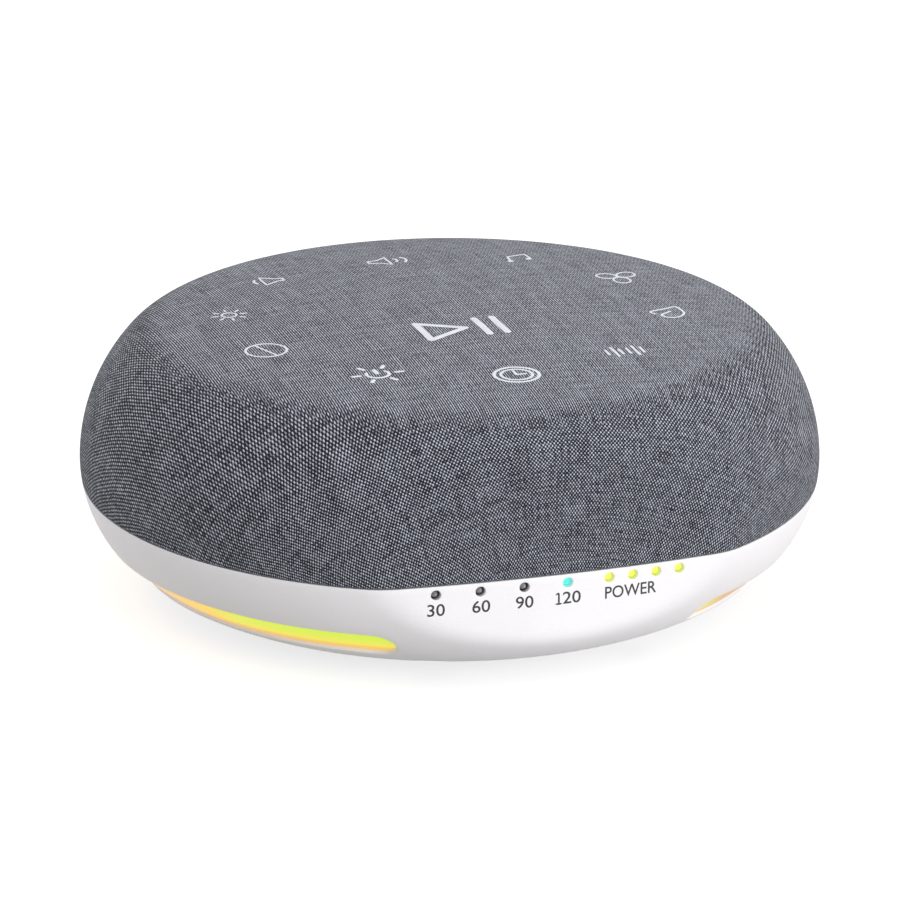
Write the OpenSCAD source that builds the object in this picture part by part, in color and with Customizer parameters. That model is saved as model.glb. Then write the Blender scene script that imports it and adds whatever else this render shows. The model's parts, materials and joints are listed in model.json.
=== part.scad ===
// Round white noise sound machine.
// A low moulded base and a perforated top shell clamp a fabric cover between them.
// The speaker hangs face up from the top shell, over a battery, the boards and two
// arcs of night lights that shine out through slots round the base.
// The front of the round body is planed off to a face that carries eight status lamps.
//
// Millimetres. The origin is on the body's axis, on the surface that the machine stands on.
// +Z is up, the lamp face looks along -Y and the charging inlet along +Y.

/* [Body] */
// Diameter of the round body at its widest
body_d = 130; // [126:0.5:136]
// Height of the body from the surface it stands on
body_h = 52.3; // [51.5:0.1:56]
// How far the outline turns down over the slightly crowned top, in degrees
crown_turn = 8.2; // [7.5:0.1:9.5]
// Radius of the shoulder between the top and the side
shoulder_r = 13.1; // [11:0.1:15]
// How far the outline turns over the shoulder
shoulder_turn = 41.1; // [38:0.1:44]
// Radius of the side above its widest place
upper_side_r = 30.8; // [28:0.1:34]
// How far the outline turns over the upper side
upper_side_turn = 38.1; // [35:0.1:40]
// Radius of the bowl below the widest place
lower_side_r = 22; // [20:0.1:25]
// How far the outline turns round the bowl
lower_side_turn = 63.3; // [60:0.1:66]
// Radius of the shallow curve under the bowl
foot_r = 42.3; // [38:0.1:48]
// How deep the front face is planed off the round body
front_depth = 6.25; // [5.5:0.05:7]
// Radius of the very slight bow across the front face
front_bow_r = 250; // [180:5:400]

/* [Housing] */
// Wall of the moulded base
base_wall = 2.2; // [1.8:0.1:2.4]
// Wall of the top shell
dome_wall = 1.8; // [1.5:0.1:2.1]
// Height of the seam between the base and the fabric
rim_z = 21.3; // [20.6:0.1:22]
// Gap at the seam between the base and the fabric's hem
rim_gap = 0.3; // [0.2:0.05:0.5]
// Top of the base's floor plate
floor_z = 3.6; // [3.4:0.1:4]
// Thickness of the tongue that centres the top shell
tongue_t = 1.3; // [1:0.1:1.6]
// How far the tongue stands above the seam
tongue_h = 3; // [2:0.1:4]
// Clearance between the tongue and the top shell
tongue_gap = 0.15; // [0.1:0.05:0.25]
// Thickness of the fabric cover
fabric_t = 0.9; // [0.7:0.05:1.1]
// Clearance between the cover and the top shell
cover_gap = 0.1; // [0.05:0.05:0.2]

/* [Rubber pad] */
// Diameter of the pad
pad_d = 72; // [66:1:74]
// Thickness of the pad
pad_t = 2; // [1.7:0.1:2.1]
// How far the pad stands out of the base
pad_drop = 0.6; // [0.4:0.1:0.7]
// Clearance round the pad in its recess
pad_gap = 0.3; // [0.2:0.05:0.5]

/* [Housing screws] */
// Distance of the screws inside the body's widest place
screw_inset = 18; // [17.6:0.1:18.2]
// Their angle from the front and from the back
screw_turn = 22; // [21:0.5:23]
// Outer radius of a screw's boss in the base
boss_r = 4.5; // [4.2:0.1:4.7]
// Height of the bosses
boss_top = 12; // [11:0.5:14]
// Thickness of the web that a screw's head pulls on
boss_web = 3; // [2.5:0.1:3.5]
// Radius of the top shell's posts
post_r = 3; // [2.8:0.1:3.2]
// Radius of a screw's shank
shank_r = 1.3; // [1.1:0.05:1.4]
// Radius of a screw's head
head_r = 2.5; // [2.3:0.1:2.7]
// Height of a screw's head
head_h = 1.8; // [1.5:0.1:2]
// Length of a screw's shank
shank_l = 12; // [9:0.5:14]

/* [Light slots] */
// Angle from the front at which a slot begins
slot_start = 31; // [30:0.5:33]
// Angle from the front at which a slot ends
slot_end = 140; // [130:0.5:145]
// Where the slot's upper edge lies on the outline, in degrees of turn
slot_top_turn = 127.5; // [125:0.5:129]
// Where its lower edge lies
slot_low_turn = 147; // [145:0.5:148]
// Thickness of the diffusers
diffuser_t = 1.6; // [1.2:0.1:1.8]
// How far a diffuser overlaps the wall round its slot, in degrees of turn
diffuser_lap = 4; // [3:0.5:4.5]
// Clearance between a diffuser and the wall behind it
diffuser_gap = 0.1; // [0.05:0.05:0.2]
// Clearance round a diffuser's raised band
diffuser_play = 0.12; // [0.05:0.01:0.2]
// How deep the raised band's face lies below the base's surface
diffuser_sink = 0.7; // [0.5:0.1:1.2]

/* [Night light boards] */
// Width of the curved boards
light_board_w = 8; // [7.5:0.1:8.5]
// Gap between the curved boards and the diffusers
light_board_gap = 1.6; // [1.2:0.1:2]
// Height of the boards' undersides
light_board_z = 7.6; // [7.2:0.1:7.8]
// Thickness of every circuit board
pcb_t = 1.2; // [1:0.1:1.3]
// Number of lights on each curved board
lights_per_side = 9; // [7:1:11]

/* [Lamp face] */
// How far the lamps lie below the seam
lamp_drop = 1.8; // [1.6:0.1:2]
// Radius of a lamp's hole
lamp_hole_r = 0.9; // [0.8:0.05:1]
// Clearance round a lamp's lens
lamp_gap = 0.05; // [0.03:0.01:0.08]
// Radius of a lens's collar behind the wall
collar_r = 1.4; // [1.3:0.05:1.6]
// Middle of the first timer lamp, from the body's middle
timer_x = -21.6; // [-22.2:0.1:-21]
// Distance between the timer lamps
timer_pitch = 7.65; // [7.5:0.05:7.8]
// Number of timer lamps
timer_count = 4; // [4:1:4]
// Middle of the first power lamp
power_x = 8.8; // [8.4:0.1:9.2]
// Distance between the power lamps
power_pitch = 4.26; // [4.1:0.02:4.4]
// Number of power lamps
power_count = 4; // [4:1:4]
// Height of the black baffle that keeps the lamps apart
baffle_h = 4.6; // [4.2:0.1:5]
// Depth of the baffle
baffle_t = 1.4; // [1.2:0.1:1.6]
// Distance from the middle of the front face back to the baffle
baffle_in = 4.1; // [4:0.05:4.3]
// Half the width of the lamp board
lamp_board_half = 24; // [23.8:0.1:24.3]
// Height of the lamp board
lamp_board_h = 8; // [7.5:0.1:8.5]
// How far the lamp board reaches below the lamps
lamp_board_low = 3.4; // [3.2:0.1:3.5]

/* [Main board] */
// Gap between the main board's round edge and the curved boards
main_board_gap = 1.5; // [1:0.1:3]
// How far the board reaches behind the axis
main_board_back = 3.5; // [2.5:0.5:4]
// Height of the board's underside
main_board_z = 9; // [8.9:0.1:9.6]
// Radius of the small screws' shanks
small_shank_r = 0.8; // [0.7:0.05:0.9]
// Radius of the small screws' heads
small_head_r = 1.8; // [1.6:0.1:2]
// Height of the small screws' heads
small_head_h = 1.1; // [1:0.1:1.3]
// Radius of the standoffs for the boards
standoff_r = 2.6; // [2.4:0.1:2.8]

/* [Battery] */
// Radius of the round cell
cell_r = 9.2; // [9.1:0.05:9.3]
// Length of the cell
cell_l = 65; // [64:0.5:66]
// Distance of the cell's axis inside the body's widest place, at the rear
cell_inset = 39; // [38.8:0.1:39.4]
// Gap between the cell and the floor
cell_lift = 0.6; // [0.4:0.1:0.8]
// Thickness of the cell's can
can_t = 0.3; // [0.25:0.05:0.35]
// Width of the bracket over the cell
bracket_w = 9; // [8:0.5:10]
// Thickness of the bracket over the cell
bracket_t = 1; // [0.8:0.05:1.1]

/* [Charging inlet] */
// Height of the inlet's middle
inlet_z = 15; // [14.6:0.1:15.3]
// Width of the metal shell
inlet_w = 8.94; // [8.9:0.02:9]
// Height of the metal shell
inlet_h = 3.26; // [3.2:0.02:3.3]
// Length of the metal shell
inlet_l = 7.35; // [7:0.05:8]
// Thickness of the metal shell's sheet
inlet_t = 0.3; // [0.25:0.05:0.35]
// Depth of the recess round the inlet, from the body's widest place
inlet_depth = 4.6; // [4.5:0.1:4.8]
// Width of the recess round the inlet
recess_w = 13; // [12:0.5:14]
// Height of the recess round the inlet
recess_h = 7; // [6.5:0.1:7.2]
// Clearance round the metal shell
inlet_gap = 0.2; // [0.15:0.05:0.3]

/* [Speaker] */
// How far the top of the speaker's flange lies below the top of the body
speaker_drop = 6.7; // [6.4:0.1:7]
// Outer radius of the flange
flange_r = 22.5; // [22.2:0.1:22.8]
// Thickness of the flange
flange_t = 1.2; // [1:0.1:1.4]
// Depth of the speaker from the flange's top to the yoke's underside
speaker_depth = 20; // [19.5:0.1:20.4]
// Inner radius of the flange
flange_in = 19.2; // [19:0.1:19.4]
// Radius of the magnet
magnet_r = 15; // [14.5:0.1:15.5]
// Thickness of the magnet
magnet_t = 5; // [4.5:0.1:5.2]
// Thickness of the yoke's disc
yoke_t = 2.5; // [2.2:0.1:2.6]
// Thickness of the top plate
plate_t = 2.4; // [2.2:0.1:2.6]
// Radius of the pole inside the voice coil
pole_r = 4.75; // [4.6:0.05:4.8]
// Width of the magnetic gap round the pole
pole_gap = 1; // [0.95:0.01:1.1]
// Half the diaphragm's travel
travel = 1.2; // [0.8:0.1:1.3]
// Wall of the voice coil's former
former_t = 0.2; // [0.15:0.01:0.22]
// Thickness of the winding on the former
winding_t = 0.25; // [0.2:0.01:0.27]
// Thickness of the cone
cone_t = 0.5; // [0.4:0.05:0.6]
// Radius of the cone's rim
cone_r = 16.6; // [16.4:0.1:16.8]
// Radius of the dust cap
cap_r = 6.8; // [6.5:0.1:7]
// Rise of the surround's half roll above the flange
roll_h = 1.5; // [1.3:0.1:1.6]
// Thickness of the surround
surround_t = 0.45; // [0.4:0.05:0.5]
// Thickness of the foam gasket over the flange
gasket_t = 0.6; // [0.5:0.1:0.8]
// Radius of the circle of the speaker's screws
lug_ring_r = 25.5; // [25.3:0.1:25.8]
// Radius of a lug round a screw
lug_r = 3.2; // [3:0.1:3.3]

/* [Sound holes] */
// Distance between the sound holes
hole_pitch = 3.7; // [3.5:0.05:3.9]
// Radius of a sound hole
hole_r = 0.9; // [0.8:0.05:1]
// Rings of holes round the middle one
hole_rings = 4; // [2:1:4]

/* [Touch keys] */
// Number of touch keys round the top
key_count = 10; // [8:1:10]
// Distance of the keys from the axis
key_ring_r = 37.6; // [37:0.1:38]
// Radius of a key's electrode
key_pad_r = 4.5; // [4:0.1:4.6]
// Radius of the conductive foam on each electrode
key_foam_r = 3.6; // [3.2:0.1:3.8]
// How far the touch board reaches inwards from the ring of keys
touch_in_w = 7.1; // [6.8:0.1:7.4]
// How far it reaches outwards
touch_out_w = 5.6; // [5.2:0.1:5.8]
// How far the touch board's top lies below the top of the body
touch_drop = 6.6; // [6.5:0.1:6.9]
// Thickness of an electrode
electrode_t = 0.2; // [0.1:0.05:0.3]

/* [Hidden] */

// A cut or a slab that only has to be longer than the body
far = 2 * body_d;
// How far a cut runs past a face
over = 0.5;
$fn = 96;

// The outline is a chain of five arcs, each tangent to the next, from the middle of the top
// round to the middle of the underside. turn_at holds the outline's direction where the arcs
// meet: 0 is level and outwards, 90 straight down and 180 level and inwards.
turn_at = [0,
           crown_turn,
           crown_turn + shoulder_turn,
           crown_turn + shoulder_turn + upper_side_turn,
           crown_turn + shoulder_turn + upper_side_turn + lower_side_turn,
           180];
// The four lower radii are drawn ones, which fit scales a little to reach the body's height.
drawn_r = [shoulder_r, upper_side_r, lower_side_r, foot_r];
drawn_reach = shoulder_r * (sin(turn_at[2]) - sin(turn_at[1]))
            + upper_side_r * (sin(turn_at[3]) - sin(turn_at[2]))
            + lower_side_r * (1 - sin(turn_at[3]));
drawn_drop = shoulder_r * (cos(turn_at[1]) - cos(turn_at[2]))
           + upper_side_r * (cos(turn_at[2]) - cos(turn_at[3]))
           + lower_side_r * (cos(turn_at[3]) - cos(turn_at[4]))
           + foot_r * (cos(turn_at[4]) + 1);
crown_share = tan(crown_turn / 2);
fit = (body_h - crown_share * body_d / 2) / (drawn_drop - crown_share * drawn_reach);
crown_r = (body_d / 2 - fit * drawn_reach) / sin(crown_turn);
arc_r = concat([crown_r], fit * drawn_r);
// A point at a given direction on a circle of radius r
function heading(turn, r) = r * [sin(turn), cos(turn)];
function arc_centre(i) = i == 0 ? [0, body_h - crown_r]
    : arc_centre(i - 1) + heading(turn_at[i], arc_r[i - 1] - arc_r[i]);
arc_c = [for (i = [0:4]) arc_centre(i)];
arc_steps = [6, 8, 8, 12, 6];
lower_side = 3;

// The outline moved inwards by an inset, as [radius, height] points down to the axis
function arc_run(i, inset) =
    [for (s = [0:arc_steps[i]])
        arc_c[i] + heading(turn_at[i] + (turn_at[i + 1] - turn_at[i]) * s / arc_steps[i],
                           arc_r[i] - inset)];
function tail(list) = [for (k = [1:len(list) - 1]) list[k]];
function outline(inset) =
    concat(arc_run(0, inset), tail(arc_run(1, inset)), tail(arc_run(2, inset)),
           tail(arc_run(3, inset)), tail(arc_run(4, inset)), [[0, inset]]);
// A point on the bowl at a given turn and inset, and a stretch of such points
function on_bowl(turn, inset) = arc_c[lower_side] + heading(turn, arc_r[lower_side] - inset);
function bowl_run(turn_a, turn_b, inset, steps = 6) =
    [for (s = [0:steps]) on_bowl(turn_a + (turn_b - turn_a) * s / steps, inset)];
// The front face's place at a distance from the middle
function front_at(x, inset) = -front_y + front_bow_r - sqrt(pow(front_bow_r - inset, 2) - x * x);
// Radius of the bowl at a height and an inset
function bowl_r(z, inset) = arc_c[lower_side].x
    + sqrt(pow(arc_r[lower_side] - inset, 2) - pow(z - arc_c[lower_side].y, 2));

front_y = body_d / 2 - front_depth;
screw_ring_r = body_d / 2 - screw_inset;
inlet_face_y = body_d / 2 - inlet_depth;
cell_y = body_d / 2 - cell_inset;
speaker_z = body_h - speaker_drop;
touch_z = body_h - touch_drop;
touch_in = key_ring_r - touch_in_w;
touch_out = key_ring_r + touch_out_w;
lamp_z = rim_z - lamp_drop;
lamp_board_z = lamp_z - lamp_board_low;

// The top shell lies under the fabric, and the tongue inside the top shell
dome_in = fabric_t + cover_gap;
dome_under = dome_in + dome_wall;
dome_z = rim_z + fabric_t + cover_gap;
tongue_in = dome_under + tongue_gap;
tongue_root = rim_z - 3 * tongue_t;
screw_turns = [screw_turn, -screw_turn, 180 - screw_turn, 180 + screw_turn];
head_room = 0.3;
post_play = 0.2;
shank_play = 0.3;
thread_play = 0.05;
web_z = boss_top - boss_web;

// The lamp face's pieces, from the front face back
baffle_y = -front_y + baffle_in;
lamp_board_y = baffle_y + baffle_t + 0.05;
led_t = 0.7;
lamp_xs = concat([for (i = [0:timer_count - 1]) timer_x + i * timer_pitch],
                 [for (i = [0:power_count - 1]) power_x + i * power_pitch]);
rail_w = 3;
rail_t = 1.2;
rail_play = 0.15;
rail_lap = 0.5;
rail_stop = 1.2;

// The curved boards run from the front screws round to the cell
light_board_out = bowl_r(light_board_z + pcb_t, base_wall + diffuser_gap + diffuser_t)
    - light_board_gap;
light_board_in = light_board_out - light_board_w;
light_board_start = slot_start + 1;
cell_clear = 1;
light_board_end = 180 - acos((cell_y - cell_r - cell_clear) / light_board_in);
light_post_r = light_board_in + 2.6;
light_turn_inset = 6;
light_post_turns = [for (side = [-1, 1], turn = [light_board_start + light_turn_inset,
    (light_board_start + light_board_end) / 2, light_board_end - light_turn_inset]) side * turn];
pin_r = 0.8;
pin_hole_r = 0.9;

// The main board and what stands on it
main_board_r = light_board_in - main_board_gap;
main_top = main_board_z + pcb_t;
main_post_in = 3.4;
main_post_turn = 33.7;
main_post_side = 8.5;
main_posts = [for (side = [-1, 1]) each [
    [side * (main_board_r - main_post_side), -2],
    (main_board_r - main_post_in) * [side * sin(main_post_turn), -cos(main_post_turn)]]];
board_hole_r = small_shank_r + shank_play;
seat = 0.02;

cell_z = floor_z + cell_lift + cell_r;
cap_rise = 0.85;
cradle_x = 22;
cradle_w = 2.4;
cell_play = 0.15;
bracket_reach = cell_r + bracket_t + standoff_r + 0.2;
bracket_foot_z = 8;

inlet_board_z = inlet_z - inlet_h / 2 - seat - pcb_t;
inlet_board_w = 18;
inlet_board_y = [inlet_face_y - 13.4, inlet_face_y - base_wall - 1.8];
inlet_posts_x = 6.2;
inlet_posts_y = inlet_board_y[0] + 3;

// The speaker's levels, from the flange's top down
yoke_z = speaker_z - speaker_depth;
magnet_z = yoke_z + yoke_t;
plate_z = magnet_z + magnet_t;
plate_top = plate_z + plate_t;
basket_floor_t = 1.4;
basket_floor_r = 14.2;
basket_wall = 1.1;
basket_low_z = plate_top + seat + 1;
// Outer radius of the basket's sloping side at a height
function basket_side(z) = basket_floor_r + 1
    + (flange_in + basket_wall - basket_floor_r - 1) * (z - basket_low_z)
    / (speaker_z - flange_t - basket_low_z);
coil_in = pole_r + (pole_gap - former_t - winding_t) / 2;
coil_out = coil_in + former_t;
winding_l = 4;
winding_z = plate_z + plate_t / 2 - winding_l / 2;
cone_low_z = plate_top + 4.4;
cone_top_z = speaker_z - 0.6;
spider_z = plate_top + 2.6;
spider_r = 13;
lug_turns = [45, 135, 225, 315];
gasket_in = 20.3;
gasket_z = speaker_z + 0.02;
ring_z = gasket_z + gasket_t + 0.02;

key_turn = 360 / key_count;
touch_screw_turns = [for (i = [0:4]) key_turn * (2 * i + 0.5)];
touch_post_r = 2.2;
touch_low = touch_z - pcb_t;
ribbon_w = 9;
ribbon_t = 0.3;
ribbon_top_y = -touch_in - 3;
ribbon_low_y = 6 - main_board_r;
connector_h = 2;

// ---------------------------------------------------------------- shared shapes

// The body's outer form, moved inwards by an inset all round and at the front face
module body_form(inset) {
    intersection() {
        rotate_extrude($fn = 180) polygon(outline(inset));
        translate([0, front_bow_r - front_y, -over])
            cylinder(r = front_bow_r - inset, h = body_h + 2 * over, $fn = 256);
    }
}

// A slab between two heights
module slab(z0, z1) {
    translate([-far / 2, -far / 2, z0]) cube([far, far, z1 - z0]);
}

// The body's form between two heights
module body_slice(inset, z0, z1) {
    intersection() {
        body_form(inset);
        slab(z0, z1);
    }
}

// A part of a ring round the axis, between two turns from the front
module ring_part(turn_a, turn_b) {
    rotate([0, 0, turn_a - 90]) rotate_extrude(angle = turn_b - turn_a, $fn = 180) children();
}

module ring(r_in, r_out, h) {
    rotate_extrude() translate([r_in, 0]) square([r_out - r_in, h]);
}

// Children at a turn from the front and a distance from the axis, turned to face outwards
module at_turn(turn, r) {
    rotate([0, 0, turn]) translate([0, -r, 0]) children();
}

// An upright rounded bar along Y: as wide as w, as high as h, with half-round ends
module stadium_bar(w, h, y0, y1) {
    translate([0, y1, 0]) rotate([90, 0, 0]) linear_extrude(y1 - y0) {
        square([w - h, h], center = true);
        for (side = [-1, 1]) translate([side * (w - h) / 2, 0]) circle(d = h, $fn = 48);
    }
}

// A pan-head screw with its head's seat at the origin and its shank along +Z
module screw(shank, length, head, height) {
    rotate_extrude($fn = 32) polygon([[0, -height], [head * 0.75, -height],
        [head, -height * 0.55], [head, 0], [shank, 0], [shank, length - shank],
        [shank * 0.4, length], [0, length]]);
}

module small_screw(length) {
    difference() {
        screw(small_shank_r, length, small_head_r, small_head_h);
        for (turn = [0, 90]) rotate([0, 0, turn])
            translate([-small_head_r * 0.6, -0.2, -small_head_h - over])
                cube([small_head_r * 1.2, 0.4, over + small_head_h * 0.5]);
    }
}

// ---------------------------------------------------------------- housing

module base_pad() color("dimgray") {
    difference() {
        cylinder(d = pad_d, h = pad_t, $fn = 180);
        // Shallow grip grooves that don't reach the outer rim
        for (k = [1:3]) rotate_extrude($fn = 180)
            translate([pad_d / 2 - 5 * k, -over]) square([1.2, over + 0.35]);
    }
}

module base_inside() {
    for (turn = screw_turns) at_turn(turn, screw_ring_r) cylinder(r = boss_r, h = boss_top);
    for (p = main_posts) translate([p.x, p.y, 0])
        cylinder(r = standoff_r, h = main_board_z - seat, $fn = 48);
    // Posts and pins that carry the curved boards
    for (turn = light_post_turns) at_turn(turn, light_post_r) {
        cylinder(r = 1.9, h = light_board_z - seat, $fn = 48);
        cylinder(r = pin_r, h = light_board_z + pcb_t + 0.6, $fn = 32);
    }
    // Two saddles and two bracket posts for the cell
    for (side = [-1, 1]) difference() {
        translate([side * cradle_x - cradle_w / 2, cell_y - cell_r, 0])
            cube([cradle_w, 2 * cell_r, cell_z - 2]);
        translate([0, cell_y, cell_z]) rotate([0, 90, 0])
            cylinder(r = cell_r + cell_play, h = far, center = true);
    }
    for (side = [-1, 1]) translate([0, cell_y + side * bracket_reach, 0])
        cylinder(r = standoff_r, h = bracket_foot_z, $fn = 48);
    for (side = [-1, 1]) translate([side * inlet_posts_x, inlet_posts_y, 0])
        cylinder(r = 2.2, h = inlet_board_z - seat, $fn = 48);
    // Solid block behind the recess of the charging inlet
    translate([-recess_w / 2 - 1.5, inlet_face_y - base_wall, inlet_z - recess_h / 2 - 1.5])
        cube([recess_w + 3, 10, recess_h + 3]);
    // Grooved rails that the lamp board slides into from above
    for (side = [-1, 1]) difference() {
        translate([side * (lamp_board_half - rail_lap) - (side < 0 ? rail_w : 0),
                   lamp_board_y - rail_t, lamp_board_z - rail_stop])
            cube([rail_w, pcb_t + 2 * rail_t, lamp_board_h]);
        translate([-lamp_board_half - rail_play, lamp_board_y - rail_play, lamp_board_z - seat])
            cube([2 * (lamp_board_half + rail_play), pcb_t + 2 * rail_play, far]);
    }
    // Small lugs over the upper edge of each diffuser
    lug_low = slot_top_turn - diffuser_lap - 0.6;
    for (k = [1:3], side = [-1, 1]) {
        turn = side * (slot_start + k * (slot_end - slot_start) / 4);
        ring_part(turn - 2, turn + 2) polygon(concat(
            bowl_run(lug_low - 5.4, lug_low, 0, 2),
            bowl_run(lug_low, lug_low - 5.4, base_wall + diffuser_gap + diffuser_t, 2)));
    }
}

// One light slot: a band along the bowl, square to its surface, with full round ends. play makes
// it smaller all round.
module light_slot(play = 0) {
    mid_turn = (slot_top_turn + slot_low_turn) / 2;
    half = arc_r[lower_side] * sin((slot_low_turn - slot_top_turn) / 2) - play;
    half_turn = asin(half / arc_r[lower_side]);
    ring_part(slot_start, slot_end)
        polygon(concat(bowl_run(mid_turn - half_turn, mid_turn + half_turn, -over),
                       bowl_run(mid_turn + half_turn, mid_turn - half_turn, base_wall + over)));
    for (turn = [slot_start, slot_end]) {
        p = on_bowl(mid_turn, base_wall + over);
        at_turn(turn, p.x) translate([0, 0, p.y]) rotate([mid_turn, 0, 0])
            cylinder(r = half, h = base_wall + 2 * over, $fn = 64);
    }
}

module base_cuts() {
    // Recess for the pad
    translate([0, 0, -over])
        cylinder(r = pad_d / 2 + pad_gap, h = pad_t + over + seat, $fn = 180);
    // Screw wells, open below
    for (turn = screw_turns) at_turn(turn, screw_ring_r) {
        translate([0, 0, -over]) cylinder(r = head_r + head_room, h = web_z + over);
        cylinder(r = shank_r + shank_play, h = boss_top + over, $fn = 48);
    }
    for (p = main_posts) translate([p.x, p.y, floor_z + 0.6])
        cylinder(r = small_shank_r + thread_play, h = main_board_z, $fn = 32);
    for (side = [-1, 1]) translate([0, cell_y + side * bracket_reach, floor_z])
        cylinder(r = small_shank_r + thread_play, h = bracket_foot_z, $fn = 32);
    for (side = [-1, 1]) translate([side * inlet_posts_x, inlet_posts_y, inlet_board_z - 5])
        cylinder(r = small_shank_r + thread_play, h = 10, $fn = 32);
    light_slot();
    mirror([1, 0, 0]) light_slot();
    // Lamp holes through the front face
    for (x = lamp_xs) translate([x, -front_y - over, lamp_z]) rotate([-90, 0, 0])
        cylinder(r = lamp_hole_r, h = base_wall + 4, $fn = 32);
    // Recess and mouth of the charging inlet
    translate([0, 0, inlet_z]) {
        stadium_bar(recess_w, recess_h, inlet_face_y, inlet_face_y + 10);
        stadium_bar(inlet_w + 2 * inlet_gap, inlet_h + 2 * inlet_gap,
                    inlet_face_y - base_wall - over, inlet_face_y + over);
    }
}

module base_shell() color("whitesmoke") {
    difference() {
        union() {
            difference() {
                body_slice(0, pad_drop, rim_z - rim_gap);
                body_slice(base_wall, floor_z, rim_z);
            }
            intersection() {
                body_slice(base_wall / 2, pad_drop + 0.3, rim_z + 3);
                base_inside();
            }
            // Tongue round the rim, left out behind the lamp face
            difference() {
                union() {
                    body_slice(base_wall - 0.2, tongue_root, rim_z - rim_gap);
                    body_slice(tongue_in, rim_z - 1, rim_z + tongue_h);
                }
                body_slice(tongue_in + tongue_t, tongue_root - over, rim_z + tongue_h + over);
                translate([-lamp_board_half - 4, -far, lamp_z - 8])
                    cube([2 * lamp_board_half + 8, far - front_y + 12, far]);
            }
        }
        base_cuts();
    }
}

module sound_holes() {
    for (i = [-hole_rings:hole_rings],
         j = [max(-hole_rings, -hole_rings - i):min(hole_rings, hole_rings - i)])
        translate([hole_pitch * (i + j / 2), hole_pitch * j * sin(60), speaker_z])
            cylinder(r = hole_r, h = body_h, $fn = 24);
}

module dome_posts() {
    for (turn = screw_turns) at_turn(turn, screw_ring_r)
        translate([0, 0, boss_top + post_play])
            cylinder(r = post_r, h = body_h - boss_top - post_play, $fn = 48);
    // Ring and bosses that the speaker is screwed up against
    translate([0, 0, ring_z]) {
        ring(gasket_in, flange_r, body_h - ring_z);
        for (turn = lug_turns) at_turn(turn, lug_ring_r)
            cylinder(r = lug_r, h = body_h - ring_z, $fn = 48);
    }
    for (turn = touch_screw_turns) at_turn(turn, key_ring_r)
        translate([0, 0, touch_z + seat]) cylinder(r = touch_post_r, h = 6, $fn = 48);
}

module dome_shell() color("gray") {
    difference() {
        union() {
            difference() {
                body_slice(dome_in, dome_z, body_h);
                body_slice(dome_under, dome_z - over, body_h);
            }
            intersection() {
                body_form(dome_in + dome_wall / 2);
                dome_posts();
            }
        }
        sound_holes();
        for (turn = screw_turns) at_turn(turn, screw_ring_r)
            cylinder(r = shank_r + thread_play, h = web_z + shank_l + 1, $fn = 48);
        for (turn = lug_turns) at_turn(turn, lug_ring_r)
            translate([0, 0, ring_z - 1])
                cylinder(r = small_shank_r + thread_play, h = 4, $fn = 32);
        for (turn = touch_screw_turns) at_turn(turn, key_ring_r)
            translate([0, 0, touch_z - 1])
                cylinder(r = small_shank_r + thread_play, h = 3.5, $fn = 32);
    }
}

module fabric_cover() color("slategray") {
    difference() {
        body_slice(0, rim_z, body_h);
        body_slice(fabric_t, rim_z + fabric_t, body_h);
        // The hem turned in under the top shell's edge
        body_slice(dome_under, rim_z - over, rim_z + fabric_t + over);
    }
}

module housing_screws() color("silver") {
    for (turn = screw_turns) at_turn(turn, screw_ring_r)
        translate([0, 0, web_z - seat]) difference() {
            screw(shank_r, shank_l, head_r, head_h);
            for (cross = [0, 90]) rotate([0, 0, cross])
                translate([-head_r * 0.6, -0.3, -head_h - over])
                    cube([head_r * 1.2, 0.6, over + head_h * 0.55]);
        }
}

// ---------------------------------------------------------------- night light

// A curved strip behind the wall, and a raised band that fills the slot
diffuser_end = 6;
diffuser_overlap = 0.3;
module light_diffuser() color("moccasin") {
    inner = base_wall + diffuser_gap;
    turn_a = slot_top_turn - diffuser_lap;
    turn_b = slot_low_turn + diffuser_lap;
    ring_part(slot_start - diffuser_end, slot_end + diffuser_end)
        polygon(concat(bowl_run(turn_a, turn_b, inner), bowl_run(turn_b, turn_a, inner + diffuser_t)));
    intersection() {
        ring_part(slot_start - diffuser_end, slot_end + diffuser_end)
            polygon(concat(bowl_run(turn_a, turn_b, diffuser_sink),
                           bowl_run(turn_b, turn_a, inner + diffuser_overlap)));
        light_slot(diffuser_play);
    }
}
module light_diffuser_left() mirror([1, 0, 0]) light_diffuser();
module light_diffuser_right() light_diffuser();

module night_light_board(side) color("seagreen") {
    turns = side > 0 ? [light_board_start, light_board_end]
                     : [-light_board_end, -light_board_start];
    difference() {
        ring_part(turns[0], turns[1]) translate([light_board_in, light_board_z])
            square([light_board_w, pcb_t]);
        for (turn = light_post_turns) at_turn(turn, light_post_r)
            cylinder(r = pin_hole_r, h = far, $fn = 32);
    }
}
module night_light_board_left() night_light_board(-1);
module night_light_board_right() night_light_board(1);

light_size = [3.2, 1.4, 1.3];
light_edge = 1;
module night_light_leds() color("lightyellow") {
    first = light_board_start + light_turn_inset / 2;
    step = (light_board_end - light_turn_inset / 2 - first) / (lights_per_side - 1);
    for (side = [-1, 1], i = [0:lights_per_side - 1])
        at_turn(side * (first + i * step), light_board_out - light_edge)
            translate([-light_size.x / 2, 0, light_board_z + pcb_t + seat]) cube(light_size);
}

// ---------------------------------------------------------------- lamp face

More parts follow.
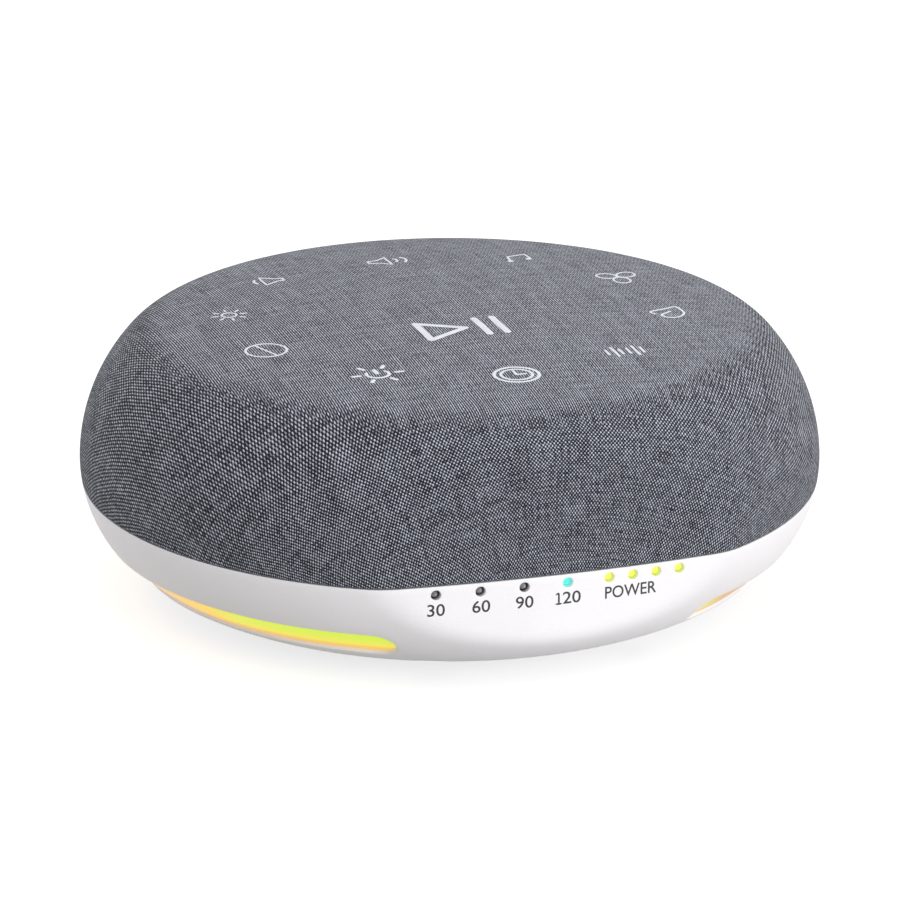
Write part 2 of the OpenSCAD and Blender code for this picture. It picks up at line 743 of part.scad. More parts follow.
// A light guide: a rod flush in the front face, and a collar trapped before the baffle
module lamp_lens(i) {
    x = lamp_xs[i];
    front = front_at(x, 0) + 0.02;
    inside = front_at(x, base_wall) + 0.3;
    translate([x, 0, lamp_z]) rotate([-90, 0, 0]) {
        translate([0, 0, front])
            cylinder(r = lamp_hole_r - lamp_gap, h = inside - front, $fn = 32);
        translate([0, 0, inside - 0.1])
            cylinder(r = collar_r, h = baffle_y - 0.05 - inside + 0.1, $fn = 32);
    }
}
module timer_lens_30() color("dimgray") lamp_lens(0);
module timer_lens_60() color("dimgray") lamp_lens(1);
module timer_lens_90() color("dimgray") lamp_lens(2);
module timer_lens_120() color("turquoise") lamp_lens(3);
module power_lenses() color("greenyellow") for (i = [0:power_count - 1]) lamp_lens(timer_count + i);

baffle_half = lamp_board_half - rail_lap - 0.2;
module indicator_baffle() color("black") {
    difference() {
        translate([-baffle_half, baffle_y, lamp_z - baffle_h / 2])
            cube([2 * baffle_half, baffle_t, baffle_h]);
        for (x = lamp_xs) translate([x, baffle_y - over, lamp_z]) rotate([-90, 0, 0])
            cylinder(r = collar_r - 0.1, h = baffle_t + 2 * over, $fn = 32);
    }
}

module indicator_leds() color("ivory") {
    for (x = lamp_xs) translate([x - 0.8, lamp_board_y - seat - led_t, lamp_z - 0.4])
        cube([1.6, led_t, 0.8]);
}

module indicator_board() color("seagreen") {
    translate([-lamp_board_half, lamp_board_y, lamp_board_z])
        cube([2 * lamp_board_half, pcb_t, lamp_board_h]);
}

// ---------------------------------------------------------------- main board

module main_board() color("seagreen") {
    translate([0, 0, main_board_z]) linear_extrude(pcb_t) difference() {
        intersection() {
            circle(r = main_board_r, $fn = 120);
            translate([-far / 2, main_board_back - far]) square([far, far]);
        }
        for (p = main_posts) translate(p) circle(r = board_hole_r, $fn = 32);
    }
}

module main_board_screws() color("silver") {
    for (p = main_posts) translate([p.x, p.y, main_top + seat]) rotate([180, 0, 0])
        small_screw(5);
}

plug_x = main_board_r - 9.5;
plug_y = -13;
plug_size = [6, 5, 5];
// A block on the main board: a chip, a connector or the like
module on_board(x, y, size) {
    translate([x - size.x / 2, y - size.y / 2, main_top + seat]) cube(size);
}
module processor_chip() color("darkslategray") on_board(0, -14, [10, 10, 1.2]);
module amplifier_chip() color("darkslategray") on_board(17, -8, [5, 6.2, 1.5]);
module storage_chip() color("darkslategray") on_board(-15, -12, [5.3, 7.9, 1.8]);
module speaker_connector() color("ivory") on_board(plug_x, plug_y, plug_size);
module charge_connector() color("ivory") on_board(-plug_x, plug_y, plug_size);
module touch_connector() color("ivory")
    on_board(0, ribbon_low_y, [ribbon_w + 3, 3.4, connector_h]);
capacitor_r = 3.1;
capacitor_h = 7.6;
capacitor_at = [[10, -24], [17.5, -20.5], [-9, -25]];
module capacitors() color("slateblue") {
    r = capacitor_r;
    h = capacitor_h;
    for (p = capacitor_at) translate([p.x, p.y, main_top + seat])
        rotate_extrude($fn = 48) polygon([[0, 0], [r, 0], [r, 0.16 * h], [r - 0.2, 0.21 * h],
            [r, 0.26 * h], [r, h - 0.4], [r - 0.3, h], [0, h]]);
}

// ---------------------------------------------------------------- battery and inlet

module battery_can() color("royalblue") {
    translate([-cell_l / 2, cell_y, cell_z]) rotate([0, 90, 0]) {
        difference() {
            cylinder(r = cell_r, h = cell_l);
            translate([0, 0, can_t]) cylinder(r = cell_r - can_t, h = cell_l - 2 * can_t);
        }
        translate([0, 0, cell_l - can_t / 2]) cylinder(r = 2.8, h = cap_rise + can_t / 2, $fn = 48);
    }
}

module battery_core() color("dimgray") {
    play = can_t + 0.05;
    translate([-cell_l / 2 + play, cell_y, cell_z]) rotate([0, 90, 0])
        cylinder(r = cell_r - play, h = cell_l - 2 * play);
}

// A strap over the cell, with a foot screwed down on each side
module battery_bracket() color("whitesmoke") {
    inner = cell_r + cell_play;
    difference() {
        translate([-bracket_w / 2, cell_y, 0]) rotate([90, 0, 90]) linear_extrude(bracket_w)
            difference() {
                union() {
                    translate([0, cell_z]) circle(r = inner + bracket_t, $fn = 96);
                    for (side = [-1, 1]) translate([side * (inner + bracket_t / 2), 0])
                        translate([-bracket_t / 2, bracket_foot_z + seat])
                            square([bracket_t, cell_z - bracket_foot_z]);
                    translate([-bracket_reach - standoff_r, bracket_foot_z + seat])
                        square([2 * (bracket_reach + standoff_r), bracket_t + 0.4]);
                }
                translate([0, cell_z]) circle(r = inner, $fn = 96);
                translate([-inner, -far]) square([2 * inner, far + cell_z]);
                translate([-far / 2, -far + bracket_foot_z + seat]) square([far, far]);
            }
        for (side = [-1, 1]) translate([0, cell_y + side * bracket_reach, 0])
            cylinder(r = board_hole_r, h = far, $fn = 32);
    }
}

module battery_bracket_screws() color("silver") {
    for (side = [-1, 1])
        translate([0, cell_y + side * bracket_reach, bracket_foot_z + bracket_t + 0.4 + 2 * seat])
            rotate([180, 0, 0]) small_screw(4.5);
}

module charge_port_board() color("seagreen") {
    difference() {
        translate([-inlet_board_w / 2, inlet_board_y[0], inlet_board_z])
            cube([inlet_board_w, inlet_board_y[1] - inlet_board_y[0], pcb_t]);
        for (side = [-1, 1]) translate([side * inlet_posts_x, inlet_posts_y, 0])
            cylinder(r = board_hole_r, h = far, $fn = 32);
    }
}

module charge_port_screws() color("silver") {
    for (side = [-1, 1])
        translate([side * inlet_posts_x, inlet_posts_y, inlet_board_z + pcb_t + seat])
            rotate([180, 0, 0]) small_screw(4);
}

module charge_port_shell() color("silver") {
    front = inlet_face_y - 0.05;
    translate([0, 0, inlet_z]) difference() {
        stadium_bar(inlet_w, inlet_h, front - inlet_l, front);
        stadium_bar(inlet_w - 2 * inlet_t, inlet_h - 2 * inlet_t,
                    front - inlet_l + inlet_t, front + over);
    }
}

module charge_port_tongue() color("black") {
    front = inlet_face_y - 0.05;
    back = front - inlet_l + inlet_t + seat;
    translate([0, 0, inlet_z]) {
        translate([-3.35, back, -0.35]) cube([6.7, inlet_l - inlet_t - 1.5, 0.7]);
        stadium_bar(inlet_w - 2 * inlet_t - 0.1, inlet_h - 2 * inlet_t - 0.1, back, back + 1.2);
    }
}

// ---------------------------------------------------------------- speaker

module speaker_basket() color("darkslategray") {
    low = plate_top + seat;
    difference() {
        union() {
            rotate_extrude() polygon([
                [pole_r + pole_gap + 1, low], [basket_floor_r, low],
                [basket_floor_r + 1, basket_low_z], [flange_in + basket_wall, speaker_z - flange_t],
                [flange_r, speaker_z - flange_t], [flange_r, speaker_z], [flange_in, speaker_z],
                [flange_in, speaker_z - flange_t],
                [basket_floor_r - 0.1, spider_z + 0.2], [spider_r - 0.6, spider_z + 0.2],
                [spider_r - 0.6, low + basket_floor_t], [pole_r + pole_gap + 1, low + basket_floor_t]]);
            translate([0, 0, speaker_z - flange_t]) for (turn = lug_turns)
                at_turn(turn, lug_ring_r) cylinder(r = lug_r, h = flange_t, $fn = 48);
        }
        // Six windows through the sloping side
        for (k = [0:5]) at_turn(30 + 60 * k, 16)
            translate([-3.6, -8, spider_z + 1.4])
                cube([7.2, 12, speaker_z - flange_t - 0.9 - spider_z - 1.4]);
        for (turn = lug_turns) at_turn(turn, lug_ring_r)
            cylinder(r = board_hole_r, h = far, $fn = 32);
    }
}

module speaker_top_plate() color("silver")
    translate([0, 0, plate_z + seat]) ring(pole_r + pole_gap, magnet_r - 1, plate_t - seat);

module speaker_magnet() color("dimgray")
    translate([0, 0, magnet_z + seat]) ring(pole_r + pole_gap + 2, magnet_r, magnet_t - seat);

module speaker_yoke() color("silver") {
    rotate_extrude() polygon([[0, yoke_z], [magnet_r - 1.6, yoke_z], [magnet_r - 1, yoke_z + 0.6],
        [magnet_r - 1, magnet_z], [pole_r, magnet_z], [pole_r, plate_top - 0.3],
        [pole_r - 0.3, plate_top], [0, plate_top]]);
}

// The former is a thin tube, with the winding in the magnetic gap at its lower end
module voice_coil() color("peru") {
    rotate_extrude() polygon([[coil_in, winding_z - 0.4], [coil_out, winding_z - 0.4],
        [coil_out, winding_z], [coil_out + winding_t, winding_z],
        [coil_out + winding_t, winding_z + winding_l], [coil_out, winding_z + winding_l],
        [coil_out, cone_low_z + 0.8], [coil_in, cone_low_z + 0.8]]);
}

// The cone flares along a curve from the former to its rim
function cone_at(r) = let (s = (r - coil_out) / (cone_r - coil_out))
    cone_low_z + (cone_top_z - cone_low_z) * (1.25 * s - 0.25 * s * s);
cone_steps = 8;
cone_start = coil_out + seat;
cone_rs = [for (s = [0:cone_steps]) cone_start + (cone_r - cone_start) * s / cone_steps];
module speaker_cone() color("dimgray") {
    rotate_extrude() polygon(concat([for (r = cone_rs) [r, cone_at(r)]],
        [for (s = [cone_steps:-1:0]) [cone_rs[s], cone_at(cone_rs[s]) - cone_t]]));
}

cap_t = 0.35;
module dust_cap() color("black") {
    low = cone_at(cap_r) + cap_t + seat;
    rise = 1.9;
    ball = (cap_r * cap_r + rise * rise) / (2 * rise);
    wide = asin(cap_r / ball);
    rotate_extrude() polygon(concat(
        [for (s = [0:6]) [0, low + rise - ball] + heading(wide * s / 6, ball)],
        [for (s = [6:-1:0]) [0, low + rise - ball] + heading(wide * s / 6, ball - cap_t)]));
}

// Corrugated disc that centres the voice coil
spider_waves = 4;
spider_steps = 8 * spider_waves;
spider_half_t = 0.15;
function spider_wave(s) =
    spider_z + (s < spider_steps ? 0.45 * sin(360 * spider_waves * s / spider_steps) : 0);
module spider() color("goldenrod") {
    start = coil_out + seat;
    step = (spider_r - 0.75 - start) / spider_steps;
    rotate_extrude() polygon(concat(
        [for (s = [0:spider_steps]) [start + step * s, spider_wave(s) + spider_half_t]],
        [for (s = [spider_steps:-1:0]) [start + step * s, spider_wave(s) - spider_half_t]]));
}

// Half roll from the cone's rim over to the flange, with a flat lip on each side
roll_out = flange_in - 0.1;
roll_steps = 12;
roll_low = cone_at(cone_r) + seat;
roll_top = speaker_z + seat;
function roll_at(s, t) = let (turn = 180 * s / roll_steps, half = (roll_out - cone_r) / 2) [
    (cone_r + roll_out) / 2 - (half - t) * cos(turn),
    (s < roll_steps / 2 ? roll_low + (roll_top - roll_low) * s / (roll_steps / 2) : roll_top)
    + (roll_h - t) * sin(turn)];
module surround() color("black") {
    lip_in = cone_rs[cone_steps - 1];
    rotate_extrude() polygon(concat(
        [[lip_in, cone_at(lip_in) + seat + surround_t],
         [cone_r - surround_t, roll_low + surround_t]],
        [for (s = [1:roll_steps - 1]) roll_at(s, 0)],
        [[roll_out + surround_t, roll_top + surround_t],
         [gasket_in - 0.1, roll_top + surround_t], [gasket_in - 0.1, roll_top]],
        [for (s = [roll_steps:-1:0]) roll_at(s, surround_t)],
        [[cone_r, roll_low], [lip_in, cone_at(lip_in) + seat]]));
}

module speaker_gasket() color("black")
    translate([0, 0, gasket_z]) ring(gasket_in, flange_r, gasket_t);

// A tag strip that stands on a foot against the basket's side
terminal_r = basket_floor_r + 4.2;
terminal_w = 6;
terminal_t = 1;
terminal_h = 4;
terminal_z = spider_z + 0.4;
terminal_foot_t = 0.8;
module speaker_terminal() color("tan") {
    foot = terminal_r - basket_side(terminal_z + terminal_foot_t) - seat;
    at_turn(90, terminal_r) translate([-terminal_w / 2, -terminal_t, terminal_z]) {
        cube([terminal_w, terminal_t, terminal_h]);
        cube([terminal_w, terminal_t + foot, terminal_foot_t]);
    }
}

module speaker_screws() color("silver") {
    for (turn = lug_turns) at_turn(turn, lug_ring_r)
        translate([0, 0, speaker_z - flange_t - seat]) small_screw(4);
}

// ---------------------------------------------------------------- touch keys

module touch_board() color("seagreen") {
    difference() {
        translate([0, 0, touch_low]) ring(touch_in, touch_out, pcb_t);
        for (turn = screw_turns) at_turn(turn, screw_ring_r)
            cylinder(r = post_r + head_room, h = far);
        for (turn = touch_screw_turns) at_turn(turn, key_ring_r)
            cylinder(r = board_hole_r, h = far, $fn = 32);
    }
}

module touch_pads() color("orange") {
    for (i = [0:key_count - 1]) at_turn(i * key_turn, key_ring_r)
        translate([0, 0, touch_z + seat]) cylinder(r = key_pad_r, h = electrode_t, $fn = 48);
}

// Conductive foam that carries each key up to the curved underside of the top shell
module touch_foam() color("gray") {
    intersection() {
        rotate_extrude() polygon(outline(dome_under + 0.05));
        for (i = [0:key_count - 1]) at_turn(i * key_turn, key_ring_r)
            translate([0, 0, touch_z + electrode_t + 2 * seat])
                cylinder(r = key_foam_r, h = 8, $fn = 48);
    }
}

module touch_board_screws() color("silver") {
    for (turn = touch_screw_turns) at_turn(turn, key_ring_r)
        translate([0, 0, touch_low - seat]) small_screw(3.4);
}

// Flat cable from the touch board down to its connector
module touch_ribbon() color("peru") {
    top = touch_low - seat;
    low = main_top + connector_h + 2 * seat;
    drop = top - low;
    bend_y = min(ribbon_top_y, ribbon_low_y) - 4;
    path = [[ribbon_low_y, low], [ribbon_low_y, low + 0.15 * drop], [bend_y, low + 0.4 * drop],
            [bend_y, top - 0.25 * drop], [ribbon_top_y, top - 0.05 * drop], [ribbon_top_y, top]];
    translate([-ribbon_w / 2, 0, 0]) rotate([90, 0, 90]) linear_extrude(ribbon_w)
        polygon(concat(path, [for (k = [len(path) - 1:-1:0]) path[k] + [ribbon_t, 0]]));
}

// ---------------------------------------------------------------- leads

// A smooth curve through a list of points, straight from the first to the second and at its end
lead_r = 0.6;
lead_sides = 8;
lead_steps = 5;
function between(p, k, t) = let (a = p[k - 1], b = p[k], c = p[k + 1], d = p[k + 2])
    b + t * ((c - a) / 2 + t * (a - 2.5 * b + 2 * c - d / 2 + t * (1.5 * (b - c) + (d - a) / 2)));
function smooth(p) = let (n = len(p)) concat([p[0]],
    [for (k = [1:n - 3], s = [0:lead_steps - 1]) between(p, k, s / lead_steps)],
    [p[n - 2], p[n - 1]]);
function unit(v) = v / norm(v);

// An insulated wire along the curve, straight where it leaves and where it arrives. across is a
// direction that the wire never runs along.
module lead(points, leave, arrive, across) {
    first = points[0];
    last = points[len(points) - 1];
    path = smooth(concat([first, first + leave],
        [for (k = [1:len(points) - 2]) points[k]], [last + arrive, last]));
    n = len(path);
    rings = [for (i = [0:n - 1])
        let (along = unit(path[min(i + 1, n - 1)] - path[max(i - 1, 0)]),
             u = unit(cross(along, across)), v = cross(along, u))
        for (k = [0:lead_sides - 1]) let (turn = 360 * k / lead_sides)
            path[i] + lead_r * (cos(turn) * u + sin(turn) * v)];
    polyhedron(rings, concat(
        [[for (k = [0:lead_sides - 1]) k]],
        [for (i = [0:n - 2], k = [0:lead_sides - 1]) let (a = i * lead_sides, next = (k + 1) % lead_sides)
            each [[a + k, a + lead_sides + k, a + next],
                  [a + next, a + lead_sides + k, a + lead_sides + next]]],
        [[for (k = [lead_sides - 1:-1:0]) (n - 1) * lead_sides + k]]));
}

plug_top = main_top + plug_size.z + 2 * seat;
lead_gap = 2.4;
lead_stub = 1.2;
stub_up = [0, 0, lead_stub];

// From the speaker's terminal down to its connector
module speaker_leads() color("firebrick") {
    x = terminal_r + terminal_t / 2;
    for (side = [-1, 1]) let (y = side * lead_gap / 2) lead([
        [x, y, terminal_z - seat],
        [x + 4, y - 3, (terminal_z + plug_top) / 2 + 3],
        [plug_x - 1, y + plug_y + 3, plug_top + 5],
        [plug_x, y + plug_y, plug_top]], -stub_up, stub_up, [0, 1, 0.2]);
}

// From each end of the cell forward to the main board
module battery_leads() color("firebrick") {
    pad_x = main_board_r - 5.5;
    for (side = [-1, 1]) {
        end_x = cell_l / 2 + (side > 0 ? cap_rise : 0) + seat;
        lead([
            [side * end_x, cell_y, cell_z],
            [side * (end_x + 2.6), cell_y - 7, cell_z],
            [side * (pad_x + 2.6), 3, main_top + 5],
            [side * pad_x, -7.5, main_top + 3],
            [side * pad_x, -9, main_top + seat]],
            [side * lead_stub, 0, 0], stub_up, [0.3 * side, 0.25, 1]);
    }
}

// From the charging inlet's board round the cell's end to its connector, side by side
module charge_leads() color("darkorange") {
    start_z = inlet_board_z + pcb_t + seat;
    round_x = cell_l / 2 + 6.5;
    rear_y = cell_y + cell_r + 1.6;
    slant = [0.7, -0.7, 0];
    for (side = [-1, 1]) let (apart = side * lead_gap / 2) lead([
        [-3, inlet_board_y[0] + 1.2, start_z] + apart * [1, 0, 0],
        [-4, inlet_board_y[0] - 2, start_z + 4] + apart * [1, 0, 0],
        [-8, rear_y + 2.5, start_z + 4] + apart * slant,
        [-0.4 * round_x, rear_y, start_z + 4] - apart * [0, 1, 0],
        [-cell_l / 2, rear_y, start_z + 4] - apart * [0, 1, 0],
        [1 - round_x, cell_y + 6, start_z + 4] + apart * slant,
        [-round_x, cell_y - cell_r - 3, start_z + 3] + apart * [1, 0, 0],
        [-plug_x - 1, plug_y + 6, plug_top + 4] + apart * [1, 0, 0],
        [-plug_x, plug_y, plug_top] + apart * [1, 0, 0]], stub_up, stub_up, [0.2, 0.3, 1]);
}

base_pad();
base_shell();
dome_shell();
fabric_cover();
housing_screws();
light_diffuser_left();
light_diffuser_right();
night_light_board_left();
night_light_board_right();
night_light_leds();
indicator_board();
indicator_leds();
indicator_baffle();
timer_lens_30();
timer_lens_60();
timer_lens_90();
timer_lens_120();
power_lenses();
main_board();
main_board_screws();
processor_chip();
amplifier_chip();
storage_chip();
capacitors();
speaker_connector();
charge_connector();
touch_connector();
charge_port_board();
charge_port_shell();
charge_port_tongue();
charge_port_screws();
battery_can();
battery_core();
battery_bracket();
battery_bracket_screws();
speaker_basket();
speaker_top_plate();
speaker_magnet();
speaker_yoke();
voice_coil();
spider();
speaker_cone();
dust_cap();
surround();
speaker_gasket();
speaker_terminal();
speaker_screws();
touch_board();
touch_pads();
touch_foam();
touch_board_screws();
touch_ribbon();
speaker_leads();
battery_leads();
charge_leads();
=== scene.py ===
"""Looks of a round white noise sound machine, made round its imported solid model.

The machine's frame gives every place and size. Lengths in this file are millimetres, and
become metres where a mesh is written. The front looks along -Y and up is +Z.
"""

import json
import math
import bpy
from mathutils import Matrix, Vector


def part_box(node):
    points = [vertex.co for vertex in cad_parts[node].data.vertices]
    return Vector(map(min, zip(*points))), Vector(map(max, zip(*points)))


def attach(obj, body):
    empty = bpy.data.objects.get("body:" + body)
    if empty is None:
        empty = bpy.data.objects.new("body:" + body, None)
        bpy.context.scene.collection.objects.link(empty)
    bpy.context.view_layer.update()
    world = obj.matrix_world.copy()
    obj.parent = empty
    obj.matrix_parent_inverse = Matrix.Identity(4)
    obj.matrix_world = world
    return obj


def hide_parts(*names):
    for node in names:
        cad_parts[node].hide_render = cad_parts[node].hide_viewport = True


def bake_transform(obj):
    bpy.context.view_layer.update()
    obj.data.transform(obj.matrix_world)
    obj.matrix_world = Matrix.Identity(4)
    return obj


bl_info = {
    "name": "White noise sound machine",
    "version": (1, 0, 0),
    "blender": (4, 5, 0),
    "location": "View3D > Sidebar > Sound machine",
    "description": "Makes the visible pieces of a round sound machine with a woven cover",
    "category": "Object",
}

from collections import namedtuple
from functools import partial

import bmesh
import bpy
from mathutils import Vector
from mathutils.geometry import delaunay_2d_cdt

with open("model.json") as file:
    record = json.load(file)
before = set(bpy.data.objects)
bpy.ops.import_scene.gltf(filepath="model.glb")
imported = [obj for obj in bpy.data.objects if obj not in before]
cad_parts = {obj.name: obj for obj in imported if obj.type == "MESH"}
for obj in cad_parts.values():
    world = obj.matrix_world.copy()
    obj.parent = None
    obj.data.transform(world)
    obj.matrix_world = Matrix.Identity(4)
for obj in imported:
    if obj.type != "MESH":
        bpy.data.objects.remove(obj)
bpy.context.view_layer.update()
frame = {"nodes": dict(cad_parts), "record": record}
MM = 0.001


def cad_box(node):
    """A node's lowest and highest corners in millimetres."""
    low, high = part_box(node)
    return Vector(low) / MM, Vector(high) / MM


# ------------------------------------------------------------------ the body's form

COVER_LOW, COVER_HIGH = cad_box("fabric_cover")
BODY_R, BODY_H, RIM_Z = COVER_HIGH.x, COVER_HIGH.z, COVER_LOW.z
FRONT_Y, BASE_LOW = -cad_box("base_shell")[0].y, cad_box("base_shell")[0].z
BASE_TOP = 21.0
# Radius of the slight bow across the front face, and the walls' thicknesses
FRONT_BOW = 250.0
COVER_T = 0.9
DOME_UNDER = 2.8
HEM_GAP = 0.04
BASE_WALL = 2.2
FLOOR_Z = 3.6
# The outline's arcs: the turns from straight up, in degrees, at which they meet, and the radii of
# all but the first before they are fitted to the body's size
ARC_TURNS = (0, 8.2, 49.3, 87.4, 150.7, 180)
ARC_RADII = (13.1, 30.8, 22.0, 42.3)
# The eight status lamps: first place along the front and pitch of the timer's four and the charge's
TIMER_X, TIMER_PITCH = -21.6, 7.65
CHARGE_X, CHARGE_PITCH = 8.8, 4.26
# Radius of the edge round the front face: in the base, its growth with height above, and at most
EDGE_R, EDGE_GROWTH, EDGE_MAX = 1.2, 0.14, 2.9
# Where someone in front of the machine looks from, and how far the signs are drawn true for them
SIGHT_AZIMUTH, SIGHT_ELEVATION = -18.4, 18.31
SIGHT_SHARE = 0.8

Arc = namedtuple("Arc", "start radius x z turn end_turn")


def outline_arcs():
    """The body's outline as tangent arcs, from the middle of the top to the underside."""
    turns = [math.radians(t) for t in ARC_TURNS]
    sin, cos = [math.sin(t) for t in turns], [math.cos(t) for t in turns]
    reach = sum(ARC_RADII[i] * (sin[i + 2] - sin[i + 1]) for i in range(2))
    reach += ARC_RADII[2] * (1 - sin[3])
    drop = sum(ARC_RADII[i] * (cos[i + 1] - cos[i + 2]) for i in range(4))
    share = math.tan(turns[1] / 2)
    fit = (BODY_H - share * BODY_R) / (drop - share * reach)
    radii = [(BODY_R - fit * reach) / sin[1]] + [fit * r for r in ARC_RADII]
    arcs, start, x, z = [], 0.0, 0.0, BODY_H - radii[0]
    for i, radius in enumerate(radii):
        if i:
            x += (radii[i - 1] - radius) * sin[i]
            z += (radii[i - 1] - radius) * cos[i]
        arcs.append(Arc(start, radius, x, z, turns[i], turns[i + 1]))
        start += radius * (turns[i + 1] - turns[i])
    return arcs


ARCS = outline_arcs()
CROWN, SHOULDER, UPPER_SIDE, BOWL, FOOT = ARCS


def outline_at(run, inset=0.0):
    """Radius and height at a run along the outline from the top's middle, moved inwards."""
    part = ([CROWN] + [p for p in ARCS if run >= p.start])[-1]
    turn = part.turn + (run - part.start) / part.radius
    reach = part.radius - inset
    return part.x + reach * math.sin(turn), part.z + reach * math.cos(turn)


def run_at_height(z, inset=0.0):
    """Run along the outline at which the side, moved inwards, has a height."""
    for part in (UPPER_SIDE, BOWL, FOOT):
        if z >= part.z + (part.radius - inset) * math.cos(part.end_turn):
            break
    turn = math.acos(max(-1.0, min(1.0, (z - part.z) / (part.radius - inset))))
    return part.start + part.radius * (turn - part.turn)


def run_at_radius(r, inset=0.0):
    """Run along the outline at which the underside, moved inwards, has a radius."""
    for part in (BOWL, FOOT):
        if r >= part.x + (part.radius - inset) * math.sin(part.end_turn):
            break
    turn = math.pi - math.asin((r - part.x) / (part.radius - inset))
    return part.start + part.radius * (turn - part.turn)


def bowl_radius(z, inset):
    """Radius of the bowl, moved inwards, at a height."""
    return BOWL.x + math.sqrt((BOWL.radius - inset) ** 2 - (z - BOWL.z) ** 2)


def front_limit(azimuth, inset):
    """Distance from the axis out to the front face, in a direction from the front."""
    ahead = math.cos(azimuth)
    if ahead < 0.1:
        return math.inf
    reach = FRONT_Y - inset
    bow = math.sin(azimuth) ** 2 / (2 * FRONT_BOW)
    return 2 * reach / (ahead + math.sqrt(ahead * ahead + 4 * reach * bow))


def eased_min(a, b, ease):
    """The lesser of two, with the corner between them rounded."""
    share = max(ease - abs(a - b), 0.0) / ease
    return min(a, b) - share * share * ease / 4


def edge_ease(z):
    """How softly the round side turns into the front face: crisp in the base, soft in the cover."""
    return min(EDGE_R + EDGE_GROWTH * max(z - RIM_Z, 0.0), EDGE_MAX)


def placed(azimuth, r, z, inset=0.0, ease=None):
    """A point at an azimuth from the front, a radius and a height, kept behind the front face."""
    r = eased_min(r, front_limit(azimuth, inset), ease or edge_ease(z))
    return Vector((r * math.sin(azimuth), -r * math.cos(azimuth), z))


def on_body(azimuth, run, inset=0.0, ease=None):
    """A point of the body's surface, moved inwards."""
    return placed(azimuth, *outline_at(run, inset), inset, ease)


def on_front(x, z, lift=0.0):
    """A point of the front face, lifted off it."""
    return Vector((x, -FRONT_Y - lift + x * x / (2 * FRONT_BOW), z))


def on_top(x, y, lift=0.0):
    """A point of the top, lifted off it."""
    r = math.hypot(x, y)
    part = CROWN if r < CROWN.radius * math.sin(CROWN.end_turn) else SHOULDER
    return Vector((x, y, part.z + lift + math.sqrt(part.radius ** 2 - (r - part.x) ** 2)))


def direction(azimuth, elevation):
    """Unit vector towards an azimuth from the front and an elevation, in degrees."""
    a, e = math.radians(azimuth), math.radians(elevation)
    return Vector((math.sin(a) * math.cos(e), -math.cos(a) * math.cos(e), math.sin(e)))


SIGHT = direction(SIGHT_AZIMUTH, SIGHT_ELEVATION)


def printed_at(place, x, y, lift):
    """A point of a sign drawn level about a place: it comes down on the top along a slope between
    the sight line and straight down."""
    level = on_top(*place) + Vector((x, y, 0)) - Vector((0, 0, CROWN.z))
    ahead = level.dot(SIGHT)
    far = math.sqrt(ahead ** 2 - level.length_squared + CROWN.radius ** 2) - ahead
    x, y = [a + (b - a) * SIGHT_SHARE for a, b in zip(level.xy, (level + SIGHT * far).xy)]
    return on_top(x, y, lift)


# ------------------------------------------------------------------ meshes

def link_new(name, data):
    """A new object in the scene."""
    obj = bpy.data.objects.new(name, data)
    bpy.context.scene.collection.objects.link(obj)
    return obj


def mend(mesh, weld=None, slivers=False):
    """Turns a closed mesh's faces outwards. Points closer than weld millimetres are joined first,
    and faces without an area taken out."""
    work = bmesh.new()
    work.from_mesh(mesh)
    if weld:
        bmesh.ops.remove_doubles(work, verts=work.verts, dist=weld * MM)
    if slivers:
        bmesh.ops.dissolve_degenerate(work, edges=work.edges, dist=1e-7)
    bmesh.ops.recalc_face_normals(work, faces=work.faces)
    work.to_mesh(mesh)
    work.free()


def smooth(mesh, sharp):
    """Shades a mesh smooth, but for edges sharper than an angle in degrees."""
    for face in mesh.polygons:
        face.use_smooth = True
    mesh.set_sharp_from_angle(angle=math.radians(sharp))


def new_piece(name, points, faces, material, sharp=35.0, uv=None, mended=True):
    """A piece from points in millimetres and faces of point numbers."""
    mesh = bpy.data.meshes.new(name)
    mesh.from_pydata([Vector(p) * MM for p in points], [], faces)
    if uv:
        layer = mesh.uv_layers.new(name="Weave")
        for loop in mesh.loops:
            layer.data[loop.index].uv = uv[loop.vertex_index]
    if mended:
        mend(mesh, 0.0001)
    smooth(mesh, sharp)
    mesh.materials.append(material)
    return link_new(name, mesh)


def join(faces, ring_a, ring_b):
    """Joins two rings of point numbers by a strip of faces."""
    for k in range(len(ring_a)):
        n = (k + 1) % len(ring_a)
        faces.append((ring_a[k], ring_b[k], ring_b[n], ring_a[n]))


def add_rings(points, faces, rings, last=None):
    """Adds rings of points, each joined to the one before, and gives the last one's numbers."""
    for ring in rings:
        numbers = range(len(points), len(points) + len(ring))
        points += ring
        if last:
            join(faces, last, numbers)
        last = numbers
    return last


def cap(points, faces, ring, pole):
    """Closes a ring of point numbers by faces to a pole."""
    points.append(pole)
    faces += [(a, b, len(points) - 1) for a, b in zip(ring, [*ring[1:], ring[0]])]


def tube(rings, closed_start=None, closed_end=None):
    """Points and faces of a tube of rings that all have the same number of points."""
    points, faces = [], []
    last = add_rings(points, faces, rings)
    for ring, pole in ((range(len(rings[0])), closed_start), (last, closed_end)):
        if pole is not None:
            cap(points, faces, ring, pole)
    return points, faces


def gather(points, faces, more_points, more_faces):
    """Adds one mesh's points and faces to another's."""
    first = len(points)
    points += more_points
    faces += [tuple(first + v for v in face) for face in more_faces]


def steps(a, b, count):
    """count + 1 even values from a to b."""
    return [a + (b - a) * k / count for k in range(count + 1)]


def azimuths(count):
    """Even angles round a full turn."""
    return [2 * math.pi * k / count for k in range(count)]


def plain(name, obj):
    """Turns an object into a new one with its evaluated mesh and no modifier."""
    graph = bpy.context.evaluated_depsgraph_get()
    mesh = bpy.data.meshes.new_from_object(obj.evaluated_get(graph))
    bpy.data.objects.remove(obj)
    return link_new(name, mesh)


